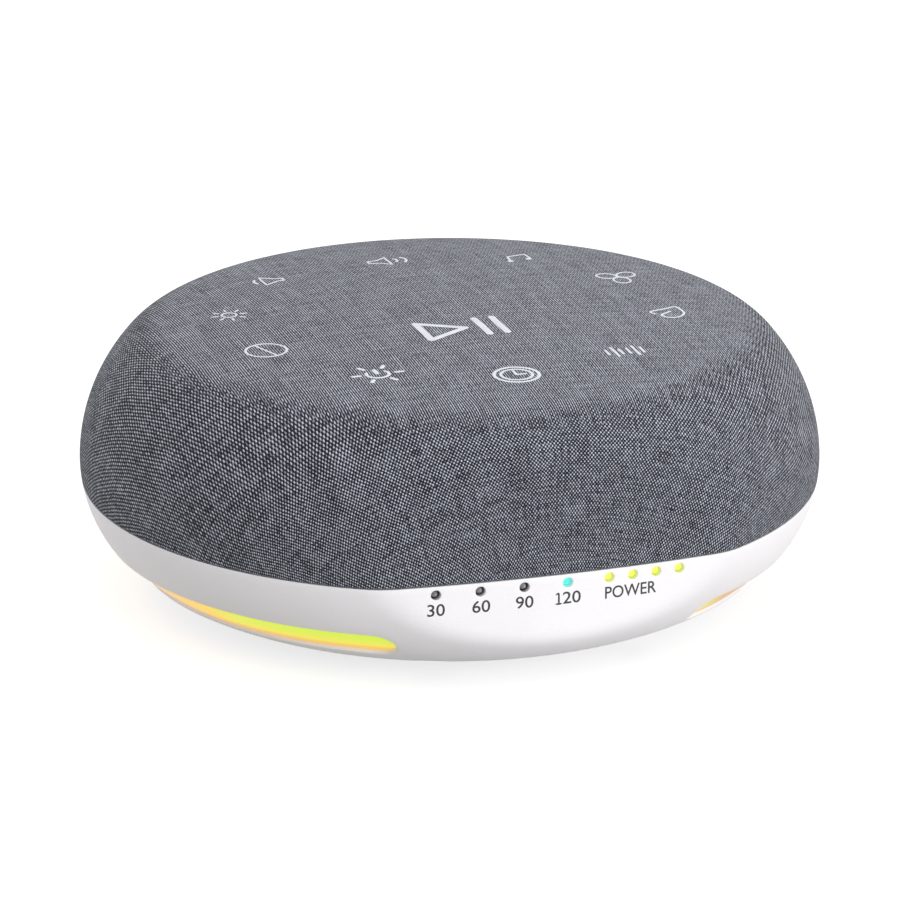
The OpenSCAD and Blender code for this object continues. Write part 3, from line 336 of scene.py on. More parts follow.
def grown(name, tree, values):
    """Evaluates a geometry node tree with its inputs set, and keeps the result as a plain mesh."""
    carrier = link_new(name, bpy.data.meshes.new(name))
    step = carrier.modifiers.new("Grow", "NODES")
    step.node_group = tree
    for item in tree.interface.items_tree:
        if item.name in values:
            step[item.identifier] = values[item.name]
    obj = plain(name, carrier)
    mend(obj.data)
    return obj


def revolved(name, section, material, sharp=40.0):
    """A closed ring round the machine's axis, from a closed section of (radius, height) points."""
    rings = [[Vector((r * math.sin(a), -r * math.cos(a), z)) for a in azimuths(96)]
             for r, z in section]
    return new_piece(name, *tube(rings + rings[:1]), material, sharp)


def boolean(obj, other, operation):
    """Applies a boolean to an object and deletes the other."""
    step = obj.modifiers.new(operation, "BOOLEAN")
    step.operation, step.object, step.solver = operation, other, "EXACT"
    result = plain(obj.name, obj)
    bpy.data.objects.remove(other)
    return result


# ------------------------------------------------------------------ materials

# A pattern's scale is per metre: 1000 over its size in millimetres
def linear(text):
    """A hex colour, as a painter reads it, turned to the linear values that a shader needs."""
    values = [int(text[k:k + 2], 16) / 255 for k in (1, 3, 5)]
    return tuple(v / 12.92 if v <= 0.04045 else ((v + 0.055) / 1.055) ** 2.4 for v in values) + (1.0,)


def adder(tree):
    """The function that adds nodes to a tree."""
    def add(kind, inputs=(), operation=None, stops=(), **settings):
        """Adds a node, or feeds one that is there. Shader nodes go without the start of their
        kind's name. Inputs have names, or stand in order. Each is a value, an output to link, or a
        node in place of its first output. A colour ramp's stops are (place, hex colour) pairs."""
        shader_kind = f"ShaderNode{kind}"
        if isinstance(kind, str):
            kind = tree.nodes.new(shader_kind if hasattr(bpy.types, shader_kind) else kind)
        if operation:
            kind.operation = operation
        for key, value in settings.items():
            setattr(kind, key, value)
        for key, value in (inputs if isinstance(inputs, dict) else dict(enumerate(inputs))).items():
            if isinstance(value, bpy.types.Node):
                value = value.outputs[0]
            if isinstance(value, bpy.types.NodeSocket):
                tree.links.new(value, kind.inputs[key])
            else:
                kind.inputs[key].default_value = value
        while stops and len(kind.color_ramp.elements) < len(stops):
            kind.color_ramp.elements.new(0.5)
        for number, (place, text) in enumerate(stops):
            element = kind.color_ramp.elements[number]
            element.position, element.color = place, linear(text)
        return kind
    return add


def shaded(name, **values):
    """A new material with values on its shader's own sockets, the function that adds its nodes, its
    shader, and the coordinates of the machine."""
    material = bpy.data.materials.new(name)
    material.use_nodes = True
    add = adder(material.node_tree)
    shader = material.node_tree.nodes["Principled BSDF"]
    add(shader, {key.replace("_", " "): value for key, value in values.items()})
    return material, add, shader, add("TexCoord").outputs["Object"]


def grained(name, light, dark, rough, grain, depth, patch=18.0, **values):
    """A moulded, cast, dipped or foamed finish: two close colours in soft patches, a fine grain of
    a size in millimetres that roughens it and stands depth millimetres out of it."""
    material, add, shader, place = shaded(name, **values)
    cloud = add("TexNoise", {"Vector": place, "Scale": 1000 / patch, "Detail": 3.0})
    fine = add("TexNoise", {"Vector": place, "Scale": 1000 / grain, "Detail": 2.0})
    half = add("Math", (add("Math", (cloud, fine), "ADD"), 0.5), "MULTIPLY")
    add(shader, {
        "Base Color": add("ValToRGB", [half], stops=((0.3, dark), (0.7, light))),
        "Roughness": add("MapRange", (fine, 0, 1, rough * 0.85, min(rough * 1.15, 1.0))),
        "Normal": add("Bump", {"Height": fine, "Distance": depth * MM, "Strength": 1.0})})
    return material


def plated(name, light, dark, rough, grain, depth, stretch=(1, 1, 1)):
    """Bare or plated metal with fine marks, drawn out along one direction by stretch."""
    material, add, shader, place = shaded(name, Metallic=1.0)
    drawn = add("Mapping", {"Vector": place, "Scale": stretch})
    marks = add("TexNoise", {"Vector": drawn, "Scale": 1000 / grain, "Detail": 4.0})
    stain = add("TexNoise", {"Vector": place, "Scale": 220.0, "Detail": 2.0})
    add(shader, {
        "Base Color": add("ValToRGB", [stain], stops=((0.35, dark), (0.65, light))),
        "Roughness": add("MapRange", (marks, 0, 1, rough * 0.7, rough * 1.3)),
        "Normal": add("Bump", {"Height": marks, "Distance": depth * MM})})
    return material


def woven_melange(look):
    """Polyester speaker cloth in a plain weave of heathered yarns. Each crossing gives the eye a
    pale dot on a dark ground, and the mixed fibres make some dots bright and others dull."""
    material, add, shader, place = shaded(
        "Polyester melange speaker cloth, plain weave",
        Roughness=0.95, Specular_IOR_Level=0.25, Sheen_Weight=0.08, Sheen_Roughness=0.5)
    # The UV map is in metres of cloth. Threads wander by up to 0.2 mm from a straight line, and back
    # over some 4 mm
    cloth = add("UVMap", uv_map="Weave")
    wander = add("TexNoise", {"Vector": cloth, "Scale": 260.0, "Detail": 1.0}).outputs["Color"]
    wander = add("VectorMath", (wander, (0.5, 0.5, 0.5)), "SUBTRACT")
    flat = add("VectorMath", (wander, (0.4 * MM,) * 3, cloth), "MULTIPLY_ADD")
    split = add("SeparateXYZ", [flat]).outputs
    waves, threads = [], []
    for axis, pitch in (("X", look.warp_pitch / MM), ("Y", look.weft_pitch / MM)):
        angle = add("Math", (split[axis], math.pi * 1000 / pitch), "MULTIPLY")
        waves.append(add("Math", [angle], "SINE"))
        # Slubs: colour that stays the same for 5 mm or so along one thread
        along = (1000 / pitch, 180.0, 1.0) if axis == "X" else (180.0, 1000 / pitch, 1.0)
        drawn = add("Mapping", {"Vector": flat, "Scale": along})
        threads.append(add("TexNoise", {"Vector": drawn, "Scale": 1.0, "Detail": 2.0,
                                        "Roughness": 0.6}))
    cross = add("Math", waves, "MULTIPLY")
    slubs = add("Math", threads, "ADD")
    # Fibres: one crossing is bright and the next, 0.4 mm on, dull
    contrast = look.weave_contrast
    fleck = add("TexNoise", {"Vector": flat, "Scale": 2300.0, "Detail": 1.0})
    fleck = add("MapRange", (fleck, 0.3, 0.7, contrast * 0.35, contrast * 1.65))
    level = add("Math", (slubs, 0.55, look.cloth_level - 0.55), "MULTIPLY_ADD")
    # On the level top the eye sees the warp threads as fine lines instead of the crossings, drawn a
    # little coarser than they are so that they show. The change lies where the shoulder turns over
    height = add("SeparateXYZ", [place]).outputs["Z"]
    side_z, top_z = [(SHOULDER.z + SHOULDER.radius * share) * MM for share in (0.74, 0.98)]
    keep = add("MapRange", (height, side_z, top_z, 1.0, 0.3))
    lined = add("MapRange", (height, side_z, top_z, 0.0, contrast * 0.9))
    line = add("Math", (split["X"], 2 * math.pi / look.top_pitch), "MULTIPLY")
    line = add("Math", [line], "SINE")
    fleck = add("Math", (fleck, keep), "MULTIPLY")
    level = add("Math", (line, lined, level), "MULTIPLY_ADD")
    tone = add("Math", (cross, fleck, level), "MULTIPLY_ADD")
    yarns = ((0.0, look.cloth_dark), (0.5, look.cloth_mid), (1.0, look.cloth_light))
    relief = add("Math", [cross], "ABSOLUTE")
    add(shader, {"Base Color": add("ValToRGB", [tone], stops=yarns),
                 "Normal": add("Bump", {"Height": relief, "Distance": 0.09 * MM, "Strength": 0.7})})
    return material


# The lit strips: shares of the way from front to back, and the colours of their glow and of
# the glow painted into their plastic's colour there. Then those of the green part's lower edge, the
# lowest edge and the right strip
GLOW_PLACES = (0.0, 0.36, 0.50, 0.66, 1.0)
GLOW_COLOURS = {
    "Emission Color": ("#AEC52A #B6C62C #CDAE36 #C69F50 #BE9866", "#C4BC2E #CDA03C #80663C"),
    "Base Color": ("#A2B234 #A8B234 #BC9C44 #BE9E60 #C2A57E", "#B4B03A #BA9444 #C9A078")}


def lit_diffuser(look):
    """Milky polycarbonate, lit from behind by green and amber night lights. The left one glows
    yellow-green in front and amber further round. The right one glows dimly and is coloured pale
    orange.
    The plastic's own colour is painted with the same yellow-green and amber as the glow: painted light."""
    material, add, shader, place = shaded("Milky polycarbonate, lit from behind", Roughness=0.45,
                                          Emission_Strength=look.night_light)
    # Places are in metres
    split = add("SeparateXYZ", [place]).outputs
    back = add("MapRange", (split["Y"], -0.052, 0.0))
    right = add("MapRange", (split["X"], 0.0265, 0.0335))
    # The lower edge, next to the amber light's board, glows warmer, above all where it is green. The
    # plastic's colour there is painted warmer as well: painted light
    low = add("MapRange", (split["Z"], 0.0101, 0.0084))
    low = add("MapRange", (back, 0.36, 0.50, low, 0.0))
    edge = add("MapRange", (split["Z"], 0.0083, 0.0075))
    # Both the glow and the plastic's Base Color follow these colours, so the plastic's colour is the
    # lamps' light painted on
    for socket, (along, others) in GLOW_COLOURS.items():
        glow = add("ValToRGB", [back], stops=tuple(zip(GLOW_PLACES, along.split())))
        for share, text in zip((low, edge, right), others.split()):
            mix = add("Mix", {"Factor": share, 6: glow, 7: linear(text)}, data_type="RGBA")
            glow = mix.outputs[2]
        add(shader, {socket: glow})
    return material


def lit_lens(name, dull, bright, glow, strength):
    """Acrylic light guide with a small light behind it: it glows, and its own colour is painted with
    the light's colour, even with faint paler spots.
    """
    material, add, shader, place = shaded(name, Roughness=0.25, Emission_Color=linear(glow),
                                          Emission_Strength=strength)
    cloud = add("TexNoise", {"Vector": place, "Scale": 900.0})
    add(shader, {"Base Color": add("ValToRGB", [cloud], stops=((0.3, dull), (0.7, bright)))})
    return material


def solder_mask():
    """Glass-fibre circuit board under green solder mask, with copper tracks as paler lines."""
    material, add, shader, place = shaded("Glass-fibre circuit board, green solder mask",
                                          Roughness=0.35)
    tracks = add("TexBrick", {
        "Vector": place, "Scale": 400.0, "Color1": linear("#0E4A26"), "Color2": linear("#125A30"),
        "Mortar": linear("#2C7F4C"), "Mortar Size": 0.03})
    bump = add("Bump", {"Height": tracks.outputs["Fac"], "Distance": 0.03 * MM})
    add(shader, {"Base Color": tracks, "Normal": bump})
    return material


def cell_wrap():
    """PVC shrink wrap over a steel can: smooth, with faint shrink lines round it."""
    material, add, shader, place = shaded("PVC shrink wrap over a steel can", Roughness=0.3)
    lines = add("TexWave", {"Vector": place, "Scale": 90.0, "Distortion": 2.0}).outputs["Fac"]
    add(shader, {"Base Color": add("ValToRGB", [lines], stops=((0.0, "#1E4F8F"), (1.0, "#235AA0"))),
                 "Normal": add("Bump", {"Height": lines, "Distance": 0.02 * MM})})
    return material


# For each slot: what it is and how it was made, its pale and dark colour, roughness, the grain's
# size and depth in millimetres, and where it isn't 18 the size of its patches
GRAINED = {
    # Moulded plastics: an even colour, satin to matt, that the mould's grain keeps from shining
    "dome_plastic": ("ABS, dark grey, spark-eroded grain", "#2C2F34", "#25282C", 0.6, 0.5, 0.01),
    "black_plastic": ("Polycarbonate, black, moulded", "#141415", "#0E0E0F", 0.5, 0.4, 0.006),
    "connector_nylon": ("Nylon 66, natural, moulded", "#E9E3CF", "#DDD6BE", 0.5, 0.3, 0.004),
    "chip_epoxy": ("Epoxy moulding compound, laser-dulled", "#1B1B1D", "#131315", 0.55, 0.12, 0.004),
    "capacitor_sleeve": ("PVC sleeve over an aluminium can", "#1D2A5C", "#18234E", 0.35, 0.8, 0.004),
    "lead_red": ("PVC insulation, extruded", "#A81616", "#8E1010", 0.45, 0.5, 0.003),
    "ribbon_film": ("Polyimide film over copper", "#A85A18", "#8C4810", 0.35, 1.2, 0.004),
    # Clear when lit, and a smoky grey with a dull gleam when not
    "lens_off": ("Acrylic light guide, smoked, unlit", "#A6A8AA", "#989A9C", 0.3, 0.5, 0.002, 1.6),
    # Rubber and foam: dull and soft, with hardly a highlight
    "pad_rubber": ("Silicone rubber, moulded, matt", "#26262A", "#1D1D20", 0.8, 0.4, 0.012),
    "surround_rubber": ("Butyl rubber, moulded", "#17171A", "#101012", 0.6, 0.4, 0.008),
    "foam": ("Polyurethane foam, open cell", "#3A3B3F", "#242529", 0.95, 0.3, 0.08),
    # Fibres pressed together: dry, and rough enough to catch the light
    "spider_cloth": ("Cotton, resin treated, pressed", "#D9B25C", "#B98F3E", 0.85, 0.3, 0.03),
    "cone_paper": ("Paper pulp, felted, coated", "#26272A", "#1B1C1F", 0.75, 0.35, 0.03),
    "terminal_board": ("Phenolic paper board, punched", "#8A5B34", "#744A28", 0.5, 0.3, 0.01),
    # Coated and sintered: black, from satin to dull
    "basket_steel": ("Steel, black e-coat", "#1A1A1C", "#131314", 0.4, 0.25, 0.004),
    "ferrite": ("Ferrite, sintered and ground", "#34353A", "#28292D", 0.6, 0.15, 0.01),
    # Screen ink lies on the cloth's threads, so a little of the weave breaks its surface
    "sign_ink": ("Screen ink, off-white, on cloth", "#E3E5EA", "#C9CDD6", 0.7, 0.35, 0.02, 2.0),
    # Pad-printed ink on the plastic: thin, dark and slightly soft at its edges
    "word_ink": ("Pad-printing ink, charcoal", "#2B2D30", "#1F2123", 0.5, 0.2, 0.002),
}
# The same for metals: bright, with fine marks that blur what they mirror, drawn out by a stretch
PLATED = {
    "screw_steel": ("Steel, zinc plated", "#C9CBD0", "#AEB1B8", 0.3, 0.3, 0.003),
    "tinned_steel": ("Sheet steel, tin plated", "#D6D7DA", "#BDBFC4", 0.28, 0.4, 0.002, (1, 4, 1)),
    "cell_roll": ("Aluminium and copper foil, wound", "#8E8A86", "#6E6B68", 0.5, 0.2, 0.01, (1, 9, 9)),
    "pole_steel": ("Low-carbon steel, turned, zinc plated", "#B9BCC2", "#9EA2AA", 0.35, 0.2, 0.003,
                   (1, 1, 6)),
    "coil_copper": ("Enamelled copper wire, wound", "#C9733C", "#9C5226", 0.35, 0.12, 0.02, (1, 1, 14)),
    "electrode_copper": ("Copper foil, bare", "#D08A5A", "#B87245", 0.35, 0.3, 0.002),
}
FINISHES = {}


def make_finishes(look):
    """One material for each material slot of the record, and those of the printed signs."""
    FINISHES.update({slot: grained(*values) for slot, values in GRAINED.items()})
    FINISHES.update({slot: plated(*values) for slot, values in PLATED.items()})
    FINISHES.update({
        "cover_fabric": woven_melange(look),
        # Satin, faintly sparkling where the spark-eroded mould left its grain
        "base_plastic": grained("ABS, white, satin moulded", look.base_light, look.base_dark,
                                0.42, 0.35, 0.004),
        "diffuser_plastic": lit_diffuser(look),
        "board_green": solder_mask(),
        "cell_wrap": cell_wrap(),
        # A glassy drop over a pale block, with some light in it
        "led_package": grained("Epoxy over a white package, moulded", "#F4EDBE", "#E8DFA8", 0.25, 0.3,
                               0.002, Emission_Color=linear("#FFE9A8"), Emission_Strength=0.6),
        # The lit lenses' base colours are their lamps' light painted into the plastic, on top of the
        # glow
        "lens_cyan": lit_lens("Acrylic light guide, lit cyan", "#3CA29E", "#45AEB0", "#52D3C1",
                              look.lamp_glow),
        "lens_green": lit_lens("Acrylic light guide, lit yellow-green", "#98AC30", "#AAB038",
                               "#DAE765", look.lamp_glow)})


# ------------------------------------------------------------------ sizes a user would change

def colour(name, default, description):
    return bpy.props.StringProperty(name=name, default=default, description=description, maxlen=7)


def number(name, default, description, **more):
    return bpy.props.FloatProperty(name=name, default=default, description=description,
                                   precision=5, **more)


class SoundMachineLook(bpy.types.PropertyGroup):
    """Colours and finishes."""
    warp_pitch: number("Warp pitch", 0.34 * MM, "Distance between neighbouring warp threads",
                       unit="LENGTH")
    weft_pitch: number("Weft pitch", 0.40 * MM, "Distance between neighbouring weft threads",
                       unit="LENGTH")
    top_pitch: number("Thread lines", 0.42 * MM, "Distance between the thread lines drawn on the top",
                      unit="LENGTH")
    weave_contrast: number("Weave contrast", 0.46, "How far pale crossings stand out of the ground",
                           subtype="FACTOR", min=0, max=1)
    cloth_level: number("Cloth level", 0.52, "Where the cloth lies between dark and pale yarn",
                        subtype="FACTOR", min=0, max=1)
    cloth_dark: colour("Dark yarn", "#0B0D14", "Colour of the cloth's dark ground")
    cloth_mid: colour("Middle yarn", "#1D2028", "Colour of the cloth half way")
    cloth_light: colour("Pale yarn", "#C6CAD6", "Colour of the cloth's pale crossings")
    base_light: colour("Base", "#EFEDEF", "Colour of the moulded base")
    base_dark: colour("Base, shaded", "#E9E6E9", "Colour of the base's faint darker patches")
    night_light: number("Night light", 1.0, "Strength of the glow in the slots", min=0)
    lamp_glow: number("Lamp glow", 1.0, "Strength of the lit status lamps", min=0)


class SoundMachineSizes(bpy.types.PropertyGroup):
    """Sizes of the visible details."""
    slot_start: number("Slot start", math.radians(31), "Angle from the front at which a slot begins",
                       subtype="ANGLE")
    slot_end: number("Slot end", math.radians(140), "Angle from the front at which a slot ends",
                     subtype="ANGLE")
    slot_lip: number("Slot lip", 0.5 * MM, "Radius of the rounded edge of a light slot",
                     unit="LENGTH")
    lamp_z: number("Lamp height", 19.5 * MM, "Height of the status lamps", unit="LENGTH")
    lamp_radius: number("Lamp radius", 0.84 * MM, "Radius of a status lamp's lens", unit="LENGTH")
    lamp_dome: number("Lamp dome", 0.16 * MM,
                      "Height of the lens's domed end, half of it proud of the face", unit="LENGTH")
    word_height: number("Figure height", 2.15 * MM, "Height of the printed figures", unit="LENGTH")
    word_weight: number("Figure weight", 0.009, "Growth of the figures' strokes, against their height")
    sign_weight: number("Sign weight", 1.0, "Width of the signs' lines against their design",
                        min=0.2, max=2)


# ------------------------------------------------------------------ the cover

class SOUNDMACHINE_OT_cover(bpy.types.Operator):
    """Make the woven cover, stretched over the top shell with its hem turned in at the seam"""
    bl_idname = "soundmachine.cover"
    bl_label = "Woven cover"

    def execute(self, context):
        around, fold, hem_z = azimuths(360), 0.35, BASE_TOP + HEM_GAP
        ends = (0, SHOULDER.start, UPPER_SIDE.start, BOWL.start, run_at_height(hem_z + fold))
        runs = []
        for start, end, count in zip(ends, ends[1:], (32, 12, 16, 5)):
            runs += steps(start, end, count)[1:]
        rings, flat = [[on_body(a, run) for a in around] for run in runs], list(runs)
        # The hem: round its fold, under the top shell's edge, and back
        section = [(fold * (1 - math.cos(t)), hem_z + fold * (1 - math.sin(t)))
                   for t in steps(0, math.pi / 2, 4)[1:]]
        section += [(DOME_UNDER - 0.2, hem_z), (DOME_UNDER, hem_z + 0.2),
                    (DOME_UNDER, RIM_Z + COVER_T - 0.05), (COVER_T + 0.05, RIM_Z + COVER_T)]
        for inset, z in section:
            rings.append([placed(a, bowl_radius(z, inset), z, inset) for a in around])
            flat.append(flat[-1] + 0.4)
        # The inside, crisp where the top shell under it is
        for run in runs[-2::-2]:
            rings.append([on_body(a, run, COVER_T, 0.05) for a in around])
            flat.append(run)
        points, faces = tube(rings, Vector((0, 0, BODY_H)), Vector((0, 0, BODY_H - COVER_T)))
        uv = [weave_place(run, a) for run in flat for a in around] + [(0, 0)] * 2
        cover = new_piece("woven_cover", points, faces, FINISHES["cover_fabric"], 60, uv,
                          mended=False)
        mend(cover.data)
        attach(cover, "housing")
        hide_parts("fabric_cover")
        # Half the area of the cover's two sides; nothing uses it
        area = sum(face.area for face in cover.data.polygons) / 2
        return {"FINISHED"}


# Distance ahead or behind at which the top's weave turns into the side's, and over how far
WEAVE_TURN, WEAVE_EASE = 44, 12


def weave_place(run, azimuth):
    """A cover point's place in the weave, in metres. On the top, where the real weave is too fine to
    show from in front, it is drawn twice as long from front to back as down the side."""
    x, y = run * math.sin(azimuth), -run * math.cos(azimuth)
    past = max(abs(y) - WEAVE_TURN, 0)
    more = past * past / (2 * WEAVE_EASE) if past < WEAVE_EASE else past - WEAVE_EASE / 2
    return x * MM, math.copysign(0.5 * abs(y) + 0.5 * more, y) * MM


# ------------------------------------------------------------------ the base

# The base's skin is laid out flat: across is the way round at the slots' middle, in millimetres,
# and down is the run along the outline. The seam is where it is cut open, clear of every hole.
SKIN_R = 57.9
SEAM = math.radians(165)
COLUMNS = 400
# Half height and middle of a slot as turns along the bowl, in degrees, and its gap to the diffuser
SLOT_TURN, SLOT_MIDDLE, SLOT_GAP = 19.5, 137.25, 0.03
LAMP_HOLE_R = 0.88
# Screw wells: their turns from the front, the radius of their ring and their own
WELL_TURNS, WELL_RING, WELL_R = (22, -22, 158, 202), 47, 2.77
# Inlet recess: half its width, half its height, and its middle's height
INLET = (6.47, 3.47, 15)
# Recess of the rubber pad: its radius at the foot and above it, and its depth
PAD_EDGE = ((36.7, 0.0), (36.42, 0.1), (36.3, 0.35))
PAD_TOP = 2.02
# Lips of the lamp holes, the wells, the inlet and the base's upper edge
LAMP_LIP, WELL_LIP, INLET_LIP, TOP_LIP = 0.12, 0.3, 0.4, 0.14
# Points of the skin's grid closer to a hole than this are left out, and points closer to each other
# than this are welded
HOLE_MARGIN, WELD = 0.45, 0.002
# How much lower the inner skin ends, and how far into the wall the bosses behind it reach
INNER_DROP, BOSS_ROOT = 0.01, 0.5


class SOUNDMACHINE_OT_base(bpy.types.Operator):
    """Make the moulded base: its bowl and front face with rounded slots, lamp holes, screw wells,
    pad recess and inlet recess, joined to the bosses inside"""
    bl_idname = "soundmachine.base"
    bl_label = "Moulded base"

    def execute(self, context):
        skin = make_base_skin(context.scene.sound_machine_sizes)
        base = boolean(skin, inner_features("base_shell", BASE_WALL - BOSS_ROOT), "UNION")
        base.name = "moulded_base"
        base.data.materials.clear()
        base.data.materials.append(FINISHES["base_plastic"])
        for face in base.data.polygons:
            face.material_index = 0
        smooth(base.data, 32)
        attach(base, "housing")
        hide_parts("base_shell")
        return {"FINISHED"}


def inner_features(node, inset):
    """The part of a CAD shell that lies deeper than an inset: its bosses, posts and saddles."""
    copy = link_new(node + "_inside", frame["nodes"][node].data.copy())
    mend(copy.data, WELD, slivers=True)
    rings = [[on_body(a, run, inset) for a in azimuths(180)]
             for run in steps(CROWN.radius * 0.02, FOOT.start + FOOT.radius * 0.30, 60)]
    poles = [Vector((0, 0, ring[0].z)) for ring in (rings[0], rings[-1])]
    core = new_piece("core", *tube(rings, *poles), FINISHES["base_plastic"])
    return boolean(copy, core, "INTERSECT")


def stadium(half_long, half_high, count_end, count_side):
    """Points round a stadium about the origin."""
    straight = half_long - half_high
    points = []
    for side in (1, -1):
        for turn in steps(math.pi / 2, -math.pi / 2, count_end):
            points.append((side * (straight + half_high * math.cos(turn)),
                           side * half_high * math.sin(turn)))
        for k in range(1, count_side):
            points.append((side * (straight - 2 * straight * k / count_side), -side * half_high))
    return points


def circle(radius, count):
    """Points round a circle about the origin."""
    return [(radius * math.cos(a), radius * math.sin(a)) for a in azimuths(count)]


def to_skin(azimuth, run):
    """A place on the skin laid out flat, with the seam at the left end."""
    if azimuth > SEAM:
        azimuth -= 2 * math.pi
    return (azimuth * SKIN_R, run)


def skin_holes(size):
    """Every hole as a function and its lip's radius. The function gives the hole's outline, wider by
    an offset, laid out flat on the skin at an inset."""
    half = BOWL.radius * math.radians(SLOT_TURN) / 2 - SLOT_GAP
    middle = BOWL.start + BOWL.radius * (math.radians(SLOT_MIDDLE) - BOWL.turn)
    first, last = size.slot_start * SKIN_R, size.slot_end * SKIN_R

    def slot(offset, inset, at):
        centre = at * (first + last) / 2
        outline = stadium((last - first) / 2 + half + offset, half + offset, 14, 96)
        return [(centre + a, middle + b) for a, b in outline]

    def lamp(offset, inset, at):
        points = [on_front(at + a, size.lamp_z / MM + b, -inset)
                  for a, b in circle(LAMP_HOLE_R + offset, 24)]
        return [to_skin(math.atan2(p.x, -p.y), run_at_height(p.z, inset)) for p in points]

    def well(offset, inset, at):
        turn = math.radians(at)
        places = [(WELL_RING * math.sin(turn) + a, -WELL_RING * math.cos(turn) + b)
                  for a, b in circle(WELL_R + offset, 32)]
        return [to_skin(math.atan2(x, -y), run_at_radius(math.hypot(x, y), inset))
                for x, y in places]

    def inlet(offset, inset, at):
        outline = stadium(INLET[0] + offset, INLET[1] + offset, 14, 8)
        return [to_skin(math.pi - math.asin(a / bowl_radius(at + b, inset)),
                        run_at_height(at + b, inset)) for a, b in outline]

    lamps = [x + pitch * k for x, pitch in ((TIMER_X, TIMER_PITCH), (CHARGE_X, CHARGE_PITCH))
             for k in range(4)]
    kinds = ((slot, (1, -1), size.slot_lip / MM), (lamp, lamps, LAMP_LIP),
             (well, WELL_TURNS, WELL_LIP), (inlet, INLET[2:], INLET_LIP))
    return [(partial(hole, at=at), lip) for hole, places, lip in kinds for at in places]


def inside_outline(point, outline):
    """Whether a flat point lies inside a closed outline."""
    x, y = point
    inside = False
    for k, (ax, ay) in enumerate(outline):
        bx, by = outline[k - 1]
        if (ay > y) != (by > y) and x < (bx - ax) * (y - ay) / (by - ay) + ax:
            inside = not inside
    return inside


def with_boxes(outlines):
    """Each outline with its left, right, lower and upper end."""
    sides = [tuple(zip(*outline)) for outline in outlines]
    return [(o, min(xs), max(xs), min(ys), max(ys)) for o, (xs, ys) in zip(outlines, sides)]


def inside_any(point, boxed):
    """Whether a flat point lies inside one of the outlines that come with their boxes."""
    return any(left < point[0] < right and low < point[1] < high and inside_outline(point, outline)
               for outline, left, right, low, high in boxed)


def fill_skin(low_run, high_run, rows, outlines, margins):
    """Triangulates the skin laid out flat between two runs, leaving out the holes."""
    left, width = SEAM * SKIN_R - 2 * math.pi * SKIN_R, 2 * math.pi * SKIN_R
    points, boxed = [], with_boxes(margins)
    for j, run in enumerate(steps(low_run, high_run, rows)):
        for i in range(COLUMNS + 1):
            place = (left + width * i / COLUMNS, run)
            if j in (0, rows) or i in (0, COLUMNS) or not inside_any(place, boxed):
                points.append(Vector(place))
    edges, rims = [], []
    for outline in outlines:
        rim = range(len(points), len(points) + len(outline))
        points += [Vector(p) for p in outline]
        edges += [(k, n) for k, n in zip(rim, [*rim[1:], rim[0]])]
        rims.append(rim)
    places, _, faces, originals, _, _ = delaunay_2d_cdt(points, edges, [], 0, 1e-5)
    back = {old: new for new, olds in enumerate(originals) for old in olds}
    kept, boxed = [], with_boxes(outlines)
    for face in faces:
        centre = (sum(places[v].x for v in face) / 3, sum(places[v].y for v in face) / 3)
        if not inside_any(centre, boxed):
            kept.append(tuple(face))
    return places, kept, [[back[k] for k in rim] for rim in rims]


def make_base_skin(size):
    """The base's closed wall: outer and inner skins, joined by the rim, the foot and the holes."""
    points, faces = [], []
    holes = skin_holes(size)
    outer_low, inner_low = run_at_height(BASE_LOW), run_at_height(FLOOR_Z, BASE_WALL)

    def skin(top, low, inset, rows, lipped):
        outlines = [hole(lip * lipped, inset) for hole, lip in holes]
        margins = [hole(lip * lipped + HOLE_MARGIN, inset) for hole, lip in holes]
        places, kept, rims = fill_skin(top, low, rows, outlines, margins)
        first = len(points)
        gather(points, faces, [on_body(p.x / SKIN_R, p.y, inset) for p in places], kept)
        return [[first + v for v in rim] for rim in rims]

    outer_rims = skin(run_at_height(BASE_TOP - TOP_LIP), outer_low, 0.0, 30, 1)
    inner_rims = skin(run_at_height(BASE_TOP - INNER_DROP, BASE_WALL), inner_low, BASE_WALL, 20, 0)
    # Each lip turns in by a quarter of a circle
    quarter = [(1 - math.cos(t), 1 - math.sin(t)) for t in steps(0, math.pi / 2, 4)[1:]]
    for (hole, lip), outer, inner in zip(holes, outer_rims, inner_rims):
        lips = [[on_body(a / SKIN_R, run, lip * deep) for a, run in hole(lip * wide, lip * deep)]
                for deep, wide in quarter]
        join(faces, add_rings(points, faces, lips, outer), inner)

    def add_round(sections):
        """Adds rings of (inset, height, radius), and gives the last one's numbers."""
        around = [SEAM - 2 * math.pi + 2 * math.pi * k / COLUMNS for k in range(COLUMNS)]
        rings = [[placed(a, r, z, inset) for a in around] for inset, z, r in sections]
        return add_rings(points, faces, rings)

    # Rounded upper edge, from the outer skin in to the inner skin
    rim = [(0, BASE_TOP - TOP_LIP)]
    rim += [(TOP_LIP * deep, BASE_TOP - TOP_LIP * wide) for deep, wide in quarter]
    rim += [(BASE_WALL, BASE_TOP - INNER_DROP)]
    add_round([(inset, z, bowl_radius(z, inset)) for inset, z in rim])
    # Foot and pad recess, and the floor over it
    foot = [(0, BASE_LOW, outline_at(outer_low)[0])]
    foot += [(0, BASE_LOW + lift, r) for r, lift in PAD_EDGE]
    foot += [(0, PAD_TOP, r) for r in (PAD_EDGE[-1][0], 24, 12)]
    cap(points, faces, add_round(foot), Vector((0, 0, PAD_TOP)))
    floor = [(BASE_WALL, FLOOR_Z, r) for r in (outline_at(inner_low, BASE_WALL)[0], 30, 15)]
    cap(points, faces, add_round(floor), Vector((0, 0, FLOOR_Z)))
    base = new_piece("base_skin", points, faces, FINISHES["base_plastic"])
    mend(base.data, WELD)
    return base


# ------------------------------------------------------------------ words and signs

